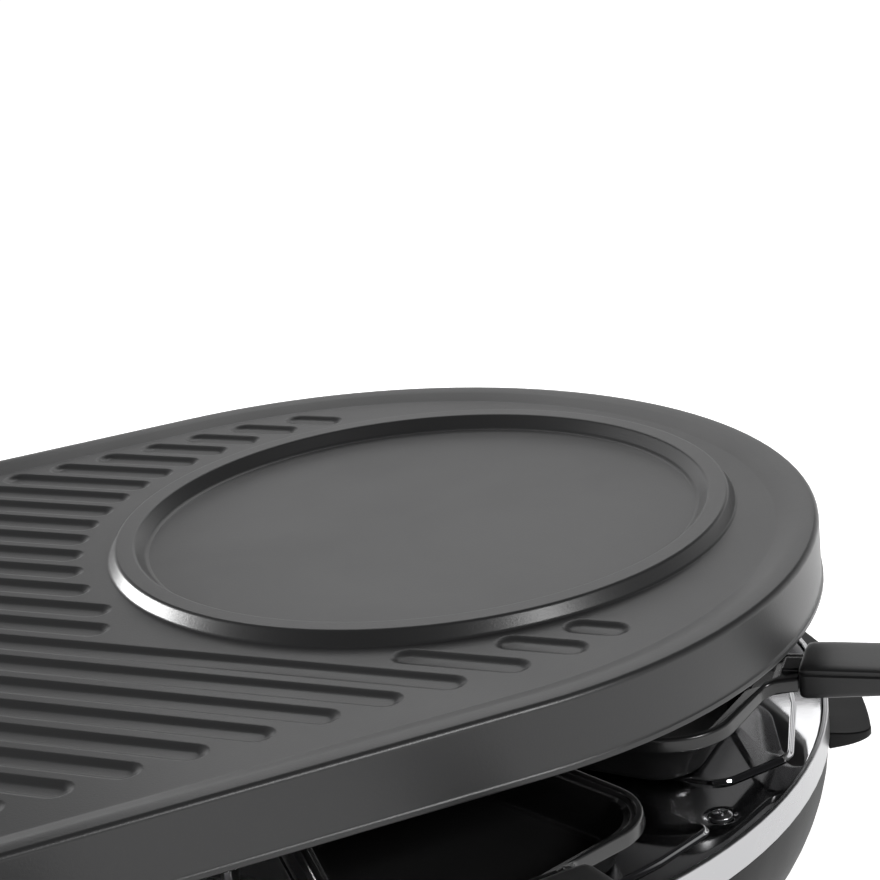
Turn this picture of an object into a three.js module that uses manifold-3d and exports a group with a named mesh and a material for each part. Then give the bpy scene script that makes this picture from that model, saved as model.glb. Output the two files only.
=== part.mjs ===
// Raclette grill: a ribbed plate with a crepe ring over an oval base that holds eight pans.
// Millimetres, +Z up. The origin is on the table, under the middle of the grill.
// +X runs along the long axis of the plate, and -Y is the side with the thermostat knob.
import * as THREE from 'three';
import { mergeVertices } from 'three/addons/utils/BufferGeometryUtils.js';
import Module from 'manifold-3d';

const wasm = await Module();
wasm.setup();

// Driving dimensions.
const GAP = 0.3; // clearance between neighbouring pieces
const ARC_STEPS = 18; // steps round each half circle of the large oval pieces

const PLATE_HALF = 67.2; // straight half length: where the plate's end arcs are centred
const PLATE_R = 140; // radius at the plate's upper edge
const PLATE_Z = 114; // level of the flat cooking surface
const PLATE_THICK = 4.6;
const SKIRT_DROP = 18.0;
const SKIRT_FLARE = 0.8;

const CREPE_X = 95.2; // centre of the crepe ring
const CREPE_R = [81.8, 85.2, 86.6, 89.2, 90.4, 93.8]; // foot, crest and foot of its bead
const CREPE_H = 3.9;

const GROOVE_PITCH = 17.39; // measured along X
const GROOVE_FIRST = -333.8; // X + Y of the first groove line
const GROOVE_COUNT = 33;
const GROOVE_W = 6.4;
const GROOVE_DEPTH = 2.3;
const GROOVE_REACH = { near: 116, far: 123 }; // how far out the grooves run, towards -Y and +Y
const GROOVE_STOP = { outer: 98.5, inner: 105 }; // how near they come to the middle of the crepe ring
const GROOVE_SHORTEST = 11;

const RING_HALF = 56.9; // straight half length of the base, tray and trim ring
const RING_R = 149;
const RING_TOP = 60;
const RING_BOTTOM = 50.7;

const TRAY_R = 147.2;
const TRAY_Z = 58.8; // upper face of the tray
const TRAY_T = 1.0;
const PLATFORM_H = 1.4; // how far the platforms under the pans stand up from the tray
const PLATFORM_WALL = 1.4; // how far a platform's wall leans in over that height
const PLATFORM_R = 140.2; // their outer edges follow this radius round the ends

const PAN_FLOOR_Z = 60.5;
const PAN_H = 15.9;
const PAN_BACK = -56; // from the pan's widest point, along its own axis
const HANDLE_START = 36;
const HANDLE_L = 80;
const HANDLE_W = 20;
const HANDLE_TOP = 22.5; // above the pan's underside
const NECK_RISE = 2.8; // how much higher the pan's rim is where it meets the handle
const NECK_FROM = 20; // where the rim starts to climb towards the handle
const TANG_HALF = 4.4; // the tongue that the handle is pushed onto
const TANG_TOP = PAN_H + NECK_RISE + 0.9;
const TANG_END = HANDLE_START + 13;

// Where each pan's widest point lies in the +X, -Y quarter, and which way its handle points.
const MIDDLE_PAN = { x: 53.9, y: -124.8, turn: -84 };
const END_PAN = { x: 142.1, y: -66.0, turn: -39.8 };

const FLOOR_Z = 9.6; // underside of the base housing
const KNOB = { x: 0, y: -150.6, z: 33, r: 15, depth: 15 };
const LEDGE_REACH = 12.0;
const LAMP_X = 26;
const GLAND_Z = 34;
const FEET = [[118, -78], [118, 78], [-118, 78], [-118, -78]];

// Materials.
const paint = (color, roughness, metalness) =>
  new THREE.MeshStandardMaterial({ color, roughness, metalness });
const COATED_PLATE = paint(0x2b2b2c, 0.45, 0.1);
const COATED_PAN = paint(0x161617, 0.3, 0.1);
const POLISHED = paint(0xb9babc, 0.12, 1.0);
const SATIN_STEEL = paint(0xb4b5b7, 0.38, 0.9);
const BLACK_PLASTIC = paint(0x1d1d1f, 0.5, 0.0);
const DARK_PLASTIC = paint(0x2a2a2c, 0.48, 0.0);
const HEATER_STEEL = paint(0x5a5653, 0.5, 0.8);
const RUBBER = paint(0x151515, 0.85, 0.0);
const RED_LENS = paint(0xb01812, 0.2, 0.0);
const CERAMIC = paint(0xd8d4c8, 0.6, 0.0);

const group = new THREE.Group();
group.name = 'raclette_grill';

function add(name, geometry, material) {
  const mesh = new THREE.Mesh(geometry, material);
  mesh.name = name;
  group.add(mesh);
}

// Shape helpers.

// Turns a list of triangles, each three points, into a closed indexed geometry.
function fromTriangles(triangles) {
  const positions = [];
  for (const [a, b, c] of triangles) {
    const ab = new THREE.Vector3().subVectors(b, a);
    const ac = new THREE.Vector3().subVectors(c, a);
    if (ab.cross(ac).length() < 1e-7) continue;
    positions.push(...a.toArray(), ...b.toArray(), ...c.toArray());
  }
  const geometry = new THREE.BufferGeometry();
  geometry.setAttribute('position', new THREE.Float32BufferAttribute(positions, 3));
  return outward(mergeVertices(geometry, 1e-4));
}

// Flips every triangle if the geometry is inside out.
function outward(geometry) {
  const p = geometry.getAttribute('position');
  const index = geometry.getIndex().array;
  const [a, b, c] = [new THREE.Vector3(), new THREE.Vector3(), new THREE.Vector3()];
  let volume = 0;
  for (let i = 0; i < index.length; i += 3) {
    a.fromBufferAttribute(p, index[i]);
    b.fromBufferAttribute(p, index[i + 1]);
    c.fromBufferAttribute(p, index[i + 2]);
    volume += a.dot(b.cross(c));
  }
  if (volume < 0) {
    for (let i = 0; i < index.length; i += 3) {
      [index[i + 1], index[i + 2]] = [index[i + 2], index[i + 1]];
    }
  }
  return geometry;
}

function toManifold(geometry) {
  const bare = geometry.clone();
  bare.deleteAttribute('normal');
  bare.deleteAttribute('uv');
  const merged = mergeVertices(bare, 1e-4);
  const mesh = new wasm.Mesh({
    numProp: 3,
    vertProperties: new Float32Array(merged.getAttribute('position').array),
    triVerts: new Uint32Array(merged.getIndex().array),
  });
  return new wasm.Manifold(mesh);
}

function fromManifold(manifold) {
  const mesh = manifold.getMesh();
  const geometry = new THREE.BufferGeometry();
  geometry.setAttribute('position', new THREE.BufferAttribute(mesh.vertProperties, 3));
  geometry.setIndex(new THREE.BufferAttribute(mesh.triVerts, 1));
  return geometry;
}

function join(...geometries) {
  return fromManifold(geometries.map(toManifold).reduce((a, b) => a.add(b)));
}

function cut(geometry, ...tools) {
  return fromManifold(tools.map(toManifold).reduce((a, b) => a.subtract(b), toManifold(geometry)));
}

// Skins a row of loops that all have the same number of points, and closes both ends flat.
function loft(loops) {
  const triangles = [];
  const n = loops[0].length;
  for (let k = 0; k + 1 < loops.length; k += 1) {
    for (let i = 0; i < n; i += 1) {
      const j = (i + 1) % n;
      triangles.push([loops[k][i], loops[k][j], loops[k + 1][j]]);
      triangles.push([loops[k][i], loops[k + 1][j], loops[k + 1][i]]);
    }
  }
  triangles.push(...cap(loops[0], true), ...cap(loops[loops.length - 1], false));
  return fromTriangles(triangles);
}

// Triangulates one flat loop, seen along the axis in which it is thinnest.
function cap(loop, reverse) {
  const box = new THREE.Box3().setFromPoints(loop);
  const size = box.getSize(new THREE.Vector3());
  const thin = Math.min(size.x, size.y, size.z);
  let flat = (p) => new THREE.Vector2(p.x, p.y);
  if (size.z !== thin) {
    flat = size.x === thin ? (p) => new THREE.Vector2(p.y, p.z) : (p) => new THREE.Vector2(p.z, p.x);
  }
  let contour = loop.map(flat);
  let points = loop;
  if (THREE.ShapeUtils.isClockWise(contour)) {
    contour = contour.slice().reverse();
    points = loop.slice().reverse();
  }
  const clockwise = points !== loop;
  const faces = THREE.ShapeUtils.triangulateShape(contour, []);
  const turn = reverse !== clockwise;
  return faces.map(([a, b, c]) =>
    turn ? [points[a], points[c], points[b]] : [points[a], points[b], points[c]]
  );
}

// Carries a closed profile of [radius, height] pairs round an oval with two round ends.
function ovalSweep(profile, half, steps = ARC_STEPS) {
  const stations = [];
  for (const side of [1, -1]) {
    for (let i = 0; i <= steps; i += 1) {
      const angle = (side > 0 ? -Math.PI / 2 : Math.PI / 2) + (Math.PI * i) / steps;
      stations.push([side * half, Math.cos(angle), Math.sin(angle)]);
    }
  }
  if (half === 0) stations.splice(steps, 1);
  if (half === 0) stations.pop();
  const at = ([cx, c, s], [r, z]) => new THREE.Vector3(cx + r * c, r * s, z);
  const triangles = [];
  for (let i = 0; i < stations.length; i += 1) {
    const here = stations[i];
    const next = stations[(i + 1) % stations.length];
    for (let k = 0; k < profile.length; k += 1) {
      const p = profile[k];
      const q = profile[(k + 1) % profile.length];
      if (p[0] === 0 && q[0] === 0) continue;
      triangles.push([at(here, p), at(next, p), at(next, q)]);
      triangles.push([at(here, p), at(next, q), at(here, q)]);
    }
  }
  return fromTriangles(triangles);
}

// A turned piece: a profile of [radius, height] pairs spun about a vertical axis.
function spin(profile, steps, x = 0, y = 0, z = 0) {
  return ovalSweep(profile, 0, steps / 2).translate(x, y, z);
}

function rod(r, z0, z1, x, y, steps = 16) {
  return spin([[0, z0], [r, z0], [r, z1], [0, z1]], steps, x, y);
}

// Rounds each corner of a polygon. Each corner is [x, y, radius, steps].
function roundedPolygon(corners) {
  const points = [];
  corners.forEach(([x, y, radius, steps], i) => {
    const before = corners[(i + corners.length - 1) % corners.length];
    const after = corners[(i + 1) % corners.length];
    const corner = new THREE.Vector2(x, y);
    const a = new THREE.Vector2(before[0] - x, before[1] - y).normalize();
    const b = new THREE.Vector2(after[0] - x, after[1] - y).normalize();
    const halfAngle = Math.acos(THREE.MathUtils.clamp(a.dot(b), -1, 1)) / 2;
    if (!radius) {
      points.push(corner);
      return;
    }
    const reach = radius / Math.tan(halfAngle);
    const inward = a.clone().add(b).normalize();
    const centre = corner.clone().addScaledVector(inward, radius / Math.sin(halfAngle));
    const from = corner.clone().addScaledVector(a, reach).sub(centre);
    const to = corner.clone().addScaledVector(b, reach).sub(centre);
    let sweep = to.angle() - from.angle();
    if (sweep > Math.PI) sweep -= 2 * Math.PI;
    if (sweep < -Math.PI) sweep += 2 * Math.PI;
    for (let k = 0; k <= steps; k += 1) {
      points.push(from.clone().rotateAround(new THREE.Vector2(), (sweep * k) / steps).add(centre));
    }
  });
  return points;
}

const lift = (points, z) => points.map((p) => new THREE.Vector3(p.x, p.y, z));

// A block with rounded upright corners and a chamfer round its top and bottom.
function block(x0, x1, y0, y1, z0, z1, radius = 2, chamfer = 0.6, steps = 2) {
  const ring = (inset) =>
    roundedPolygon([
      [x0 + inset, y0 + inset, radius, steps],
      [x1 - inset, y0 + inset, radius, steps],
      [x1 - inset, y1 - inset, radius, steps],
      [x0 + inset, y1 - inset, radius, steps],
    ]);
  return loft([
    lift(ring(chamfer), z0),
    lift(ring(0), z0 + chamfer),
    lift(ring(0), z1 - chamfer),
    lift(ring(chamfer), z1),
  ]);
}

// A block with sharp edges.
function brick(x0, x1, y0, y1, z0, z1) {
  const ring = roundedPolygon([[x0, y0], [x1, y0], [x1, y1], [x0, y1]]);
  return loft([lift(ring, z0), lift(ring, z1)]);
}

// A round bar that follows a path.
function bar(path, radius, sides = 8) {
  let normal = new THREE.Vector3(0, 0, 1);
  const loops = path.map((p, i) => {
    const before = path[Math.max(i - 1, 0)];
    const after = path[Math.min(i + 1, path.length - 1)];
    const along = new THREE.Vector3().subVectors(after, before).normalize();
    normal = normal.clone().addScaledVector(along, -normal.dot(along)).normalize();
    const across = new THREE.Vector3().crossVectors(along, normal);
    return Array.from({ length: sides }, (_, k) => {
      const angle = (2 * Math.PI * k) / sides;
      return p
        .clone()
        .addScaledVector(normal, radius * Math.cos(angle))
        .addScaledVector(across, radius * Math.sin(angle));
    });
  });
  return loft(loops);
}

// Grill plate.

function plateBody() {
  const top = PLATE_Z;
  const low = PLATE_Z - SKIRT_DROP;
  const wide = PLATE_R + SKIRT_FLARE;
  return ovalSweep(
    [
      [0, top],
      [129.6, top],
      [131.8, top + 0.25],
      [134.4, top + 1.15],
      [136.2, top + 1.75],
      [137.6, top + 1.95],
      [138.9, top + 1.65],
      [140.0, top + 0.4],
      [wide - 0.3, low + 1.2],
      [wide, low + 0.5],
      [wide - 0.5, low],
      [wide - 2.6, low],
      [wide - 3.3, low + 0.8],
      [135.8, top - PLATE_THICK - 1.0],
      [128.0, top - PLATE_THICK],
      [0, top - PLATE_THICK],
    ],
    PLATE_HALF
  );
}

function crepeRing() {
  const [inFoot, inCrest, inTop, outTop, outCrest, outFoot] = CREPE_R;
  const z = PLATE_Z;
  return spin(
    [
      [inFoot, z - 1],
      [inFoot, z],
      [inCrest, z + CREPE_H - 0.45],
      [inTop, z + CREPE_H],
      [outTop, z + CREPE_H],
      [outCrest, z + CREPE_H - 0.45],
      [outFoot, z],
      [outFoot, z - 1],
    ],
    52,
    CREPE_X
  );
}

// One groove: a long capsule with sloping walls, cut down into the plate.
function grooveTool(start, end) {
  const along = new THREE.Vector2().subVectors(end, start);
  const angle = along.angle();
  const steps = 3;
  const outline = (radius, z) => {
    const points = [];
    for (const [centre, from] of [[end, -90], [start, 90]]) {
      for (let k = 0; k <= steps; k += 1) {
        const a = angle + THREE.MathUtils.degToRad(from + (k * 180) / steps);
        points.push(new THREE.Vector3(centre.x + radius * Math.cos(a), centre.y + radius * Math.sin(a), z));
      }
    }
    return points;
  };
  const half = GROOVE_W / 2;
  return loft([
    outline(half - 1.5, PLATE_Z - GROOVE_DEPTH),
    outline(half, PLATE_Z),
    outline(half + 0.6, PLATE_Z + 0.9),
  ]);
}

// The end points of every groove: slanting lines, stopped at the rim and round the crepe ring.
function grooveLines() {
  const lines = [];
  const inside = (x, y) => {
    const endR = Math.hypot(Math.max(Math.abs(x) - PLATE_HALF, 0), y);
    const edge = y < 0 ? GROOVE_REACH.near : GROOVE_REACH.far;
    const stop = x - CREPE_X > y ? GROOVE_STOP.outer : GROOVE_STOP.inner;
    return y > 3.5 - GROOVE_REACH.near && endR < edge && Math.hypot(x - CREPE_X, y) > stop;
  };
  for (let k = 0; k < GROOVE_COUNT; k += 1) {
    const sum = GROOVE_FIRST + k * GROOVE_PITCH;
    let start = null;
    for (let y = 130; y >= -130; y -= 0.25) {
      const open = inside(sum - y, y);
      if (open && !start) start = new THREE.Vector2(sum - y, y);
      if (!open && start) {
        const end = new THREE.Vector2(sum - y, y);
        if (start.distanceTo(end) > GROOVE_SHORTEST) lines.push([start, end]);
        start = null;
      }
    }
  }
  return lines;
}

function grillPlate() {
  const tools = grooveLines().map(([start, end]) => grooveTool(start, end));
  return cut(join(plateBody(), crepeRing()), ...tools);
}

// Pans.

// The pan's outline as seen from above, moved outward by grow, with its neck ending at neckX.
function panOutline(grow, neckX) {
  const back = PAN_BACK - grow;
  const front = 16 + grow;
  const neck = Math.max(neckX - 8.2, front + 0.5);
  const half = [
    [back, 30.9 + grow, 15 + grow, 2],
    [front, 45.9 + grow, 18 + grow, 3],
    [neck, 9.4 + grow, 5, 2],
    [neckX, 8 + grow, 0, 0],
  ];
  const mirrored = half.map(([x, y, r, n]) => [x, -y, r, n]).reverse();
  return roundedPolygon([...half, ...mirrored]);
}

function panBody() {
  const rim = PAN_H;
  const neck = HANDLE_START - GAP;
  // The rim climbs smoothly along the neck, up to the handle.
  const climb = (x) => NECK_RISE * THREE.MathUtils.smoothstep(x, NECK_FROM, neck - 2);
  const climbing = (points) => points.map((p) => p.setZ(p.z + climb(p.x)));
  const dish = loft([
    lift(panOutline(-6.2, 16.5), 0),
    lift(panOutline(-5.0, 17.5), 1.2),
    climbing(lift(panOutline(-1.6, neck - 12), rim - 4.6)),
    climbing(lift(panOutline(0.9, neck), rim - 4.0)),
    climbing(lift(panOutline(0.2, neck), rim)),
    climbing(lift(panOutline(-1.4, neck - 1.4), rim)),
    climbing(lift(panOutline(-2.4, neck - 3.4), rim - 1.6)),
    climbing(lift(panOutline(-3.2, 21.5), rim - 2.8)),
    lift(panOutline(-6.8, 15.4), 1.2),
  ]);
  const tang = block(neck - 4, TANG_END, -TANG_HALF, TANG_HALF, rim + 1, TANG_TOP, 1, 0.3, 1);
  return join(dish, tang);
}

function panHandle() {
  const rim = PAN_H;
  const top = HANDLE_TOP;
  const low = rim - 3.4;
  // A cross-section with a crowned top, a groove under the crown and a flat underside.
  const section = (x, half, drop, rise) => {
    const t = top - drop;
    const b = low + rise;
    const side = [
      [half - 4, t],
      [half - 0.9, t - 0.5],
      [half, t - 1.5],
      [half, b + 1.2],
      [half - 1.4, b],
    ];
    const right = side.map(([y, z]) => new THREE.Vector3(x, y, z));
    const left = side.map(([y, z]) => new THREE.Vector3(x, -y, z)).reverse();
    return [...right, ...left];
  };
  const x0 = HANDLE_START;
  const half = HANDLE_W / 2;
  const body = loft([
    section(x0, half - 2.2, 1.6, 0.8),
    section(x0 + 2, half - 0.4, 0.2, 0),
    section(x0 + 6, half, 0, 0.4),
    section(x0 + HANDLE_L * 0.6, half + 0.6, 0, 2.6),
    section(x0 + HANDLE_L - 10, half + 1.4, 0.2, 2.8),
    section(x0 + HANDLE_L - 3, half - 1.0, 0.8, 3.2),
    section(x0 + HANDLE_L, half - 4.0, 2.0, 4.2),
  ]);
  const slotHalf = TANG_HALF + GAP;
  const slot = brick(x0 - 2, TANG_END + GAP, -slotHalf, slotHalf, rim + 1 - GAP, TANG_TOP + GAP);
  return cut(body, slot);
}

// All eight places, one quarter at a time, each as a position and a heading in degrees.
function panPlaces() {
  const places = [];
  for (const [sx, sy] of [[1, -1], [1, 1], [-1, 1], [-1, -1]]) {
    for (const { x, y, turn } of [MIDDLE_PAN, END_PAN]) {
      const heading = new THREE.Vector2(
        sx * Math.cos(THREE.MathUtils.degToRad(turn)),
        -sy * Math.sin(THREE.MathUtils.degToRad(turn))
      );
      places.push({ x: sx * x, y: -sy * y, angle: heading.angle() });
    }
  }
  return places;
}

function addPans() {
  panPlaces().forEach(({ x, y, angle }, i) => {
    const place = new THREE.Matrix4()
      .makeTranslation(x, y, PAN_FLOOR_Z)
      .multiply(new THREE.Matrix4().makeRotationZ(angle));
    add(`pan_${i + 1}`, panBody().applyMatrix4(place), COATED_PAN);
    add(`pan_handle_${i + 1}`, panHandle().applyMatrix4(place), BLACK_PLASTIC);
  });
}

// Reflector tray.

// The foot of the platform under a middle pan and under an end pan, in the +X, -Y quarter.
const MIDDLE_PLATFORM = [
  [10, -PLATFORM_R, 7, 1],
  [RING_HALF, -PLATFORM_R, 0, 0],
  ...[-81, -72].map((degrees) => {
    const a = THREE.MathUtils.degToRad(degrees);
    return [RING_HALF + PLATFORM_R * Math.cos(a), PLATFORM_R * Math.sin(a), 0, 0];
  }),
  [120.5, -124.9, 5, 2],
  [97, -60, 13, 2],
  [18, -56, 13, 2],
];
const END_PLATFORM = [
  [94.5, -57, 12, 2],
  [131, -10, 12, 2],
  [185, -35, 14, 2],
  [181, -66, 40, 1],
  [158, -101.5, 8, 2],
  [133, -105.5, 10, 2],
];

function inset(corners, amount) {
  const n = corners.length;
  return corners.map(([x, y, radius, steps], i) => {
    const p = new THREE.Vector2(x, y);
    const before = new THREE.Vector2(...corners[(i + n - 1) % n]).sub(p).normalize();
    const after = new THREE.Vector2(...corners[(i + 1) % n]).sub(p).normalize();
    const halfSine = Math.sqrt((1 - before.dot(after)) / 2);
    const bisector = before.add(after).normalize();
    p.addScaledVector(bisector, amount / halfSine);
    return [p.x, p.y, radius ? Math.max(radius - amount, 1) : 0, steps];
  });
}

// A platform's solid: upright below the tray's face at z, and leaning in over its height above.
function platformSolid(corners, shrink, z) {
  const foot = roundedPolygon(inset(corners, shrink));
  const top = roundedPolygon(inset(corners, shrink + PLATFORM_WALL));
  return loft([lift(foot, z - 0.5), lift(foot, z), lift(top, z + PLATFORM_H)]);
}

function mirrorCorners(corners, sx, sy) {
  return corners.map(([x, y, radius, steps]) => [sx * x, sy * y, radius, steps]);
}

// The dimples between the pans, each with the screw that holds the tray down.
const DIMPLES = [];
for (const sx of [1, -1]) {
  for (const sy of [1, -1]) DIMPLES.push([sx * 125.3, sy * 118.4]);
  DIMPLES.push([sx * 193.0, 0]);
}
const DIMPLE_R = 5;
const DIMPLE_DEPTH = 1.0;

function reflectorTray() {
  const top = TRAY_Z;
  const under = TRAY_Z - TRAY_T;
  const raised = [];
  const hollows = [];
  for (const [sx, sy] of [[1, 1], [1, -1], [-1, 1], [-1, -1]]) {
    for (const platform of [MIDDLE_PLATFORM, END_PLATFORM]) {
      const corners = mirrorCorners(platform, sx, sy);
      raised.push(platformSolid(corners, 0, top));
      hollows.push(platformSolid(corners, TRAY_T * 0.9, under));
    }
  }
  const bowl = (r, z) => [
    [0, z - DIMPLE_DEPTH],
    [r * 0.75, z - DIMPLE_DEPTH],
    [r, z],
    [r, z + 0.2],
    [0, z + 0.2],
  ];
  const bowls = DIMPLES.map(([x, y]) => spin(bowl(DIMPLE_R + 0.6, under), 12, x, y));
  const dimples = DIMPLES.map(([x, y]) => spin(bowl(DIMPLE_R, top), 12, x, y));
  const holes = DIMPLES.map(([x, y]) => rod(1.9, under - 5, top + 5, x, y, 8));
  const sheet = ovalSweep(
    [[0, under], [TRAY_R, under], [TRAY_R, top - 0.3], [TRAY_R - 0.3, top], [0, top]],
    RING_HALF
  );
  return cut(join(sheet, ...raised, ...bowls), ...hollows, ...dimples, ...holes);
}

function addTrayScrews() {
  const z = TRAY_Z - DIMPLE_DEPTH + GAP;
  DIMPLES.forEach(([x, y], i) => {
    const head = spin(
      [[0, z - 9], [1.5, z - 9], [1.5, z], [3.6, z], [3.4, z + 0.8], [2.4, z + 1.6], [0, z + 1.8]],
      8,
      x,
      y
    );
    const slot = brick(x - 2, x + 2, y - 0.45, y + 0.45, z + 0.9, z + 3);
    const cross = brick(x - 0.45, x + 0.45, y - 2, y + 2, z + 0.9, z + 3);
    add(`tray_screw_${i + 1}`, cut(head, slot, cross), SATIN_STEEL);
  });
}

// Trim ring and base.

function trimRing() {
  return ovalSweep(
    [
      [RING_R, RING_BOTTOM + 0.3],
      [RING_R, RING_TOP - 0.7],
      [RING_R - 0.25, RING_TOP - 0.2],
      [RING_R - 0.7, RING_TOP],
      [RING_R - 1.1, RING_TOP],
      [TRAY_R + GAP + 0.1, RING_TOP - 0.4],
      [TRAY_R + GAP + 0.1, RING_BOTTOM],
      [RING_R - 0.3, RING_BOTTOM],
    ],
    RING_HALF
  );
}

// Outer and inner faces of the housing's curved wall, each as radius and height.
const HOUSING_OUTER = [
  [148.6, 50.3],
  [147.2, 42],
  [145.0, 33],
  [140.8, 24.5],
  [134.2, 17],
  [126.5, 12.2],
  [119.5, FLOOR_Z],
];
const HOUSING_INNER = [
  [117.6, 12.2],
  [130.0, 18.0],
  [140.0, 30.0],
  [144.4, 44],
  [144.4, TRAY_Z - TRAY_T - GAP],
];
const POST_R = 4.8;
const VENT_PITCH = 9;
const VENT_W = 4;
const VENT_HALF_L = 26;

function baseHousing() {
  const shoulder = 147.3; // the trim ring sits round this
  const trayRest = TRAY_Z - TRAY_T - GAP;
  const wall = ovalSweep(
    [
      [shoulder, trayRest - 0.3],
      [shoulder, 50.6],
      ...HOUSING_OUTER,
      [0, FLOOR_Z],
      [0, 12.2],
      ...HOUSING_INNER,
      [shoulder - 0.3, trayRest],
    ],
    RING_HALF
  );
  const postTop = TRAY_Z - TRAY_T - DIMPLE_DEPTH - GAP;
  const posts = DIMPLES.map(([x, y]) => rod(POST_R, 26, postTop, x, y, 8));
  const pilots = DIMPLES.map(([x, y]) => rod(1.8, 46, postTop + 4, x, y, 6));
  const pad = block(-38, 38, -150.2, -140.4, 15.5, 50.3, 3, 1);
  const padHollow = block(-34.5, 34.5, -147.4, -132, 18.5, 47.5, 2, 0.5, 1);
  const rearPad = block(-17, 17, 140.4, 150.2, 22.5, 45.5, 3, 1);
  const through = (radius, x, y, z) =>
    rod(radius, -12, 12, 0, 0, 16).rotateX(Math.PI / 2).translate(x, y, z);
  const shaftHole = through(3.6, KNOB.x, -146, KNOB.z);
  const lampHole = through(3.8, LAMP_X, -146, KNOB.z);
  const glandHole = through(6.3, 0, 146, GLAND_Z);
  const vents = [];
  for (const sx of [-1, 1]) {
    for (let k = -2; k <= 2; k += 1) {
      const x = sx * 46 + k * VENT_PITCH;
      vents.push(brick(x - VENT_W / 2, x + VENT_W / 2, -VENT_HALF_L, VENT_HALF_L, 5, 16));
    }
  }
  const feet = FEET.map(([x, y]) => rod(4.3, 5, 16, x, y, 12));
  const holes = [...pilots, padHollow, shaftHole, lampHole, glandHole, ...vents, ...feet];
  return cut(join(wall, ...posts, pad, rearPad), ...holes);
}

// A ledge to carry the grill by, under the trim ring at each end.
function carryLedge(side) {
  const stations = [];
  const steps = 14;
  const spread = 31.5;
  const root = 148.9;
  for (let i = 0; i <= steps; i += 1) {
    const angle = THREE.MathUtils.degToRad(spread * ((2 * i) / steps - 1));
    const t = Math.abs(i / steps - 0.5) * 2;
    stations.push([angle, LEDGE_REACH * Math.sqrt(Math.max(1 - Math.pow(t, 6), 0.02))]);
  }
  const loops = stations.map(([angle, reach]) => {
    const c = Math.cos(angle) * side;
    const s = Math.sin(angle);
    const profile = [
      [root, 49.8],
      [root + reach * 0.45, 48.9],
      [root + reach * 0.8, 49.4],
      [root + reach, 48.6],
      [root + reach, 46.9],
      [root + reach * 0.5, 45.4],
      [148.35, 44.6],
    ];
    return profile.map(([r, z]) => new THREE.Vector3(side * RING_HALF + r * c, r * s, z));
  });
  return loft(loops);
}

function addFeet() {
  FEET.forEach(([x, y], i) => {
    const seat = FLOOR_Z - GAP;
    const plug = [[4, seat], [4, 12.6], [4.9, 13.0], [3.2, 15.2], [0, 15.2]];
    const foot = spin([[0, 0], [9.4, 0], [10.4, 0.9], [11, seat], ...plug], 12, x, y);
    add(`foot_${i + 1}`, foot, RUBBER);
  });
}

// Heating element and what holds it.

const HEATER_Z = 99.5;
const HEATER_TUBE = 3.3;
const HEATER_HALF = 52;
const HEATER_R = 78;

function heatingElement() {
  const path = [];
  const push = (x, y) => path.push(new THREE.Vector3(x, y, HEATER_Z));
  const bend = 14;
  push(-9, -17);
  push(-9, -HEATER_R + bend);
  for (let k = 1; k <= 3; k += 1) {
    const a = (Math.PI / 2) * (k / 3);
    push(-9 - bend + bend * Math.cos(a), -HEATER_R + bend - bend * Math.sin(a));
  }
  for (const [centre, from] of [[-HEATER_HALF, -90], [HEATER_HALF, 90]]) {
    for (let k = 0; k <= 14; k += 1) {
      const a = THREE.MathUtils.degToRad(from - (180 * k) / 14);
      push(centre + HEATER_R * Math.cos(a), HEATER_R * Math.sin(a));
    }
  }
  for (let k = 2; k >= 0; k -= 1) {
    const a = (Math.PI / 2) * (k / 3);
    push(9 + bend - bend * Math.cos(a), -HEATER_R + bend - bend * Math.sin(a));
  }
  push(9, -17);
  return bar(path, HEATER_TUBE, 6);
}

function terminalBox() {
  const shell = block(-34, 34, -24, 24, TRAY_Z + GAP, 106, 6, 1.2, 2);
  const sockets = [-9, 9].map((x) =>
    rod(HEATER_TUBE + GAP + 0.1, -6, 6, 0, 0, 12).rotateX(Math.PI / 2).translate(x, -26.5, HEATER_Z)
  );
  const inside = brick(-32.6, 32.6, -22.6, 22.6, TRAY_Z - 1, 104.6);
  const slots = [inside];
  for (const sx of [-1, 1]) {
    for (let k = 0; k < 4; k += 1) {
      slots.push(brick(sx * 33 - 2, sx * 33 + 2, -17 + k * 10, -13 + k * 10, 70, 92));
    }
  }
  return cut(shell, ...sockets, ...slots);
}

// A bracket that carries the plate on its top and the element on a hook at its side.
function plateSupport(x, y, outX, outY) {
  const underPlate = PLATE_Z - PLATE_THICK;
  const base = rod(7, TRAY_Z + GAP, TRAY_Z + 2, x, y, 14);
  const post = rod(2.6, TRAY_Z + 1, underPlate - 2.2, x, y, 8);
  const head = rod(5.2, underPlate - 3, underPlate - GAP, x, y, 12);
  const reach = 10.6;
  const low = HEATER_Z - HEATER_TUBE - 0.3;
  const arm = (from, to, z0, z1) => {
    const xs = [x - outX * from, x - outX * to, x - outX * to, x - outX * from];
    const ys = [y - outY * from, y - outY * to, y - outY * to, y - outY * from];
    const w = 3;
    const px = [-outY * w, -outY * w, outY * w, outY * w];
    const py = [outX * w, outX * w, -outX * w, -outX * w];
    const ring = xs.map((vx, i) => new THREE.Vector2(vx + px[i], ys[i] + py[i]));
    return loft([lift(ring, z0), lift(ring, z1)]);
  };
  const shelf = arm(-1, reach + 1.4, low - 1.6, low);
  const lip = arm(reach, reach + 1.4, low - 1, low + 3.4);
  return join(base, post, head, shelf, lip);
}

function addSupports() {
  const reach = 6.4;
  const spots = [
    ['front', 0, -HEATER_R - reach - 0.6, 0, -1],
    ['rear', 0, HEATER_R + reach, 0, 1],
    ['right', HEATER_HALF + HEATER_R + reach, 0, 1, 0],
    ['left', -HEATER_HALF - HEATER_R - reach, 0, -1, 0],
  ];
  for (const [name, x, y, outX, outY] of spots) {
    add(`plate_support_${name}`, plateSupport(x, y, outX, outY), SATIN_STEEL);
  }
}

// Controls and inlet.

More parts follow.
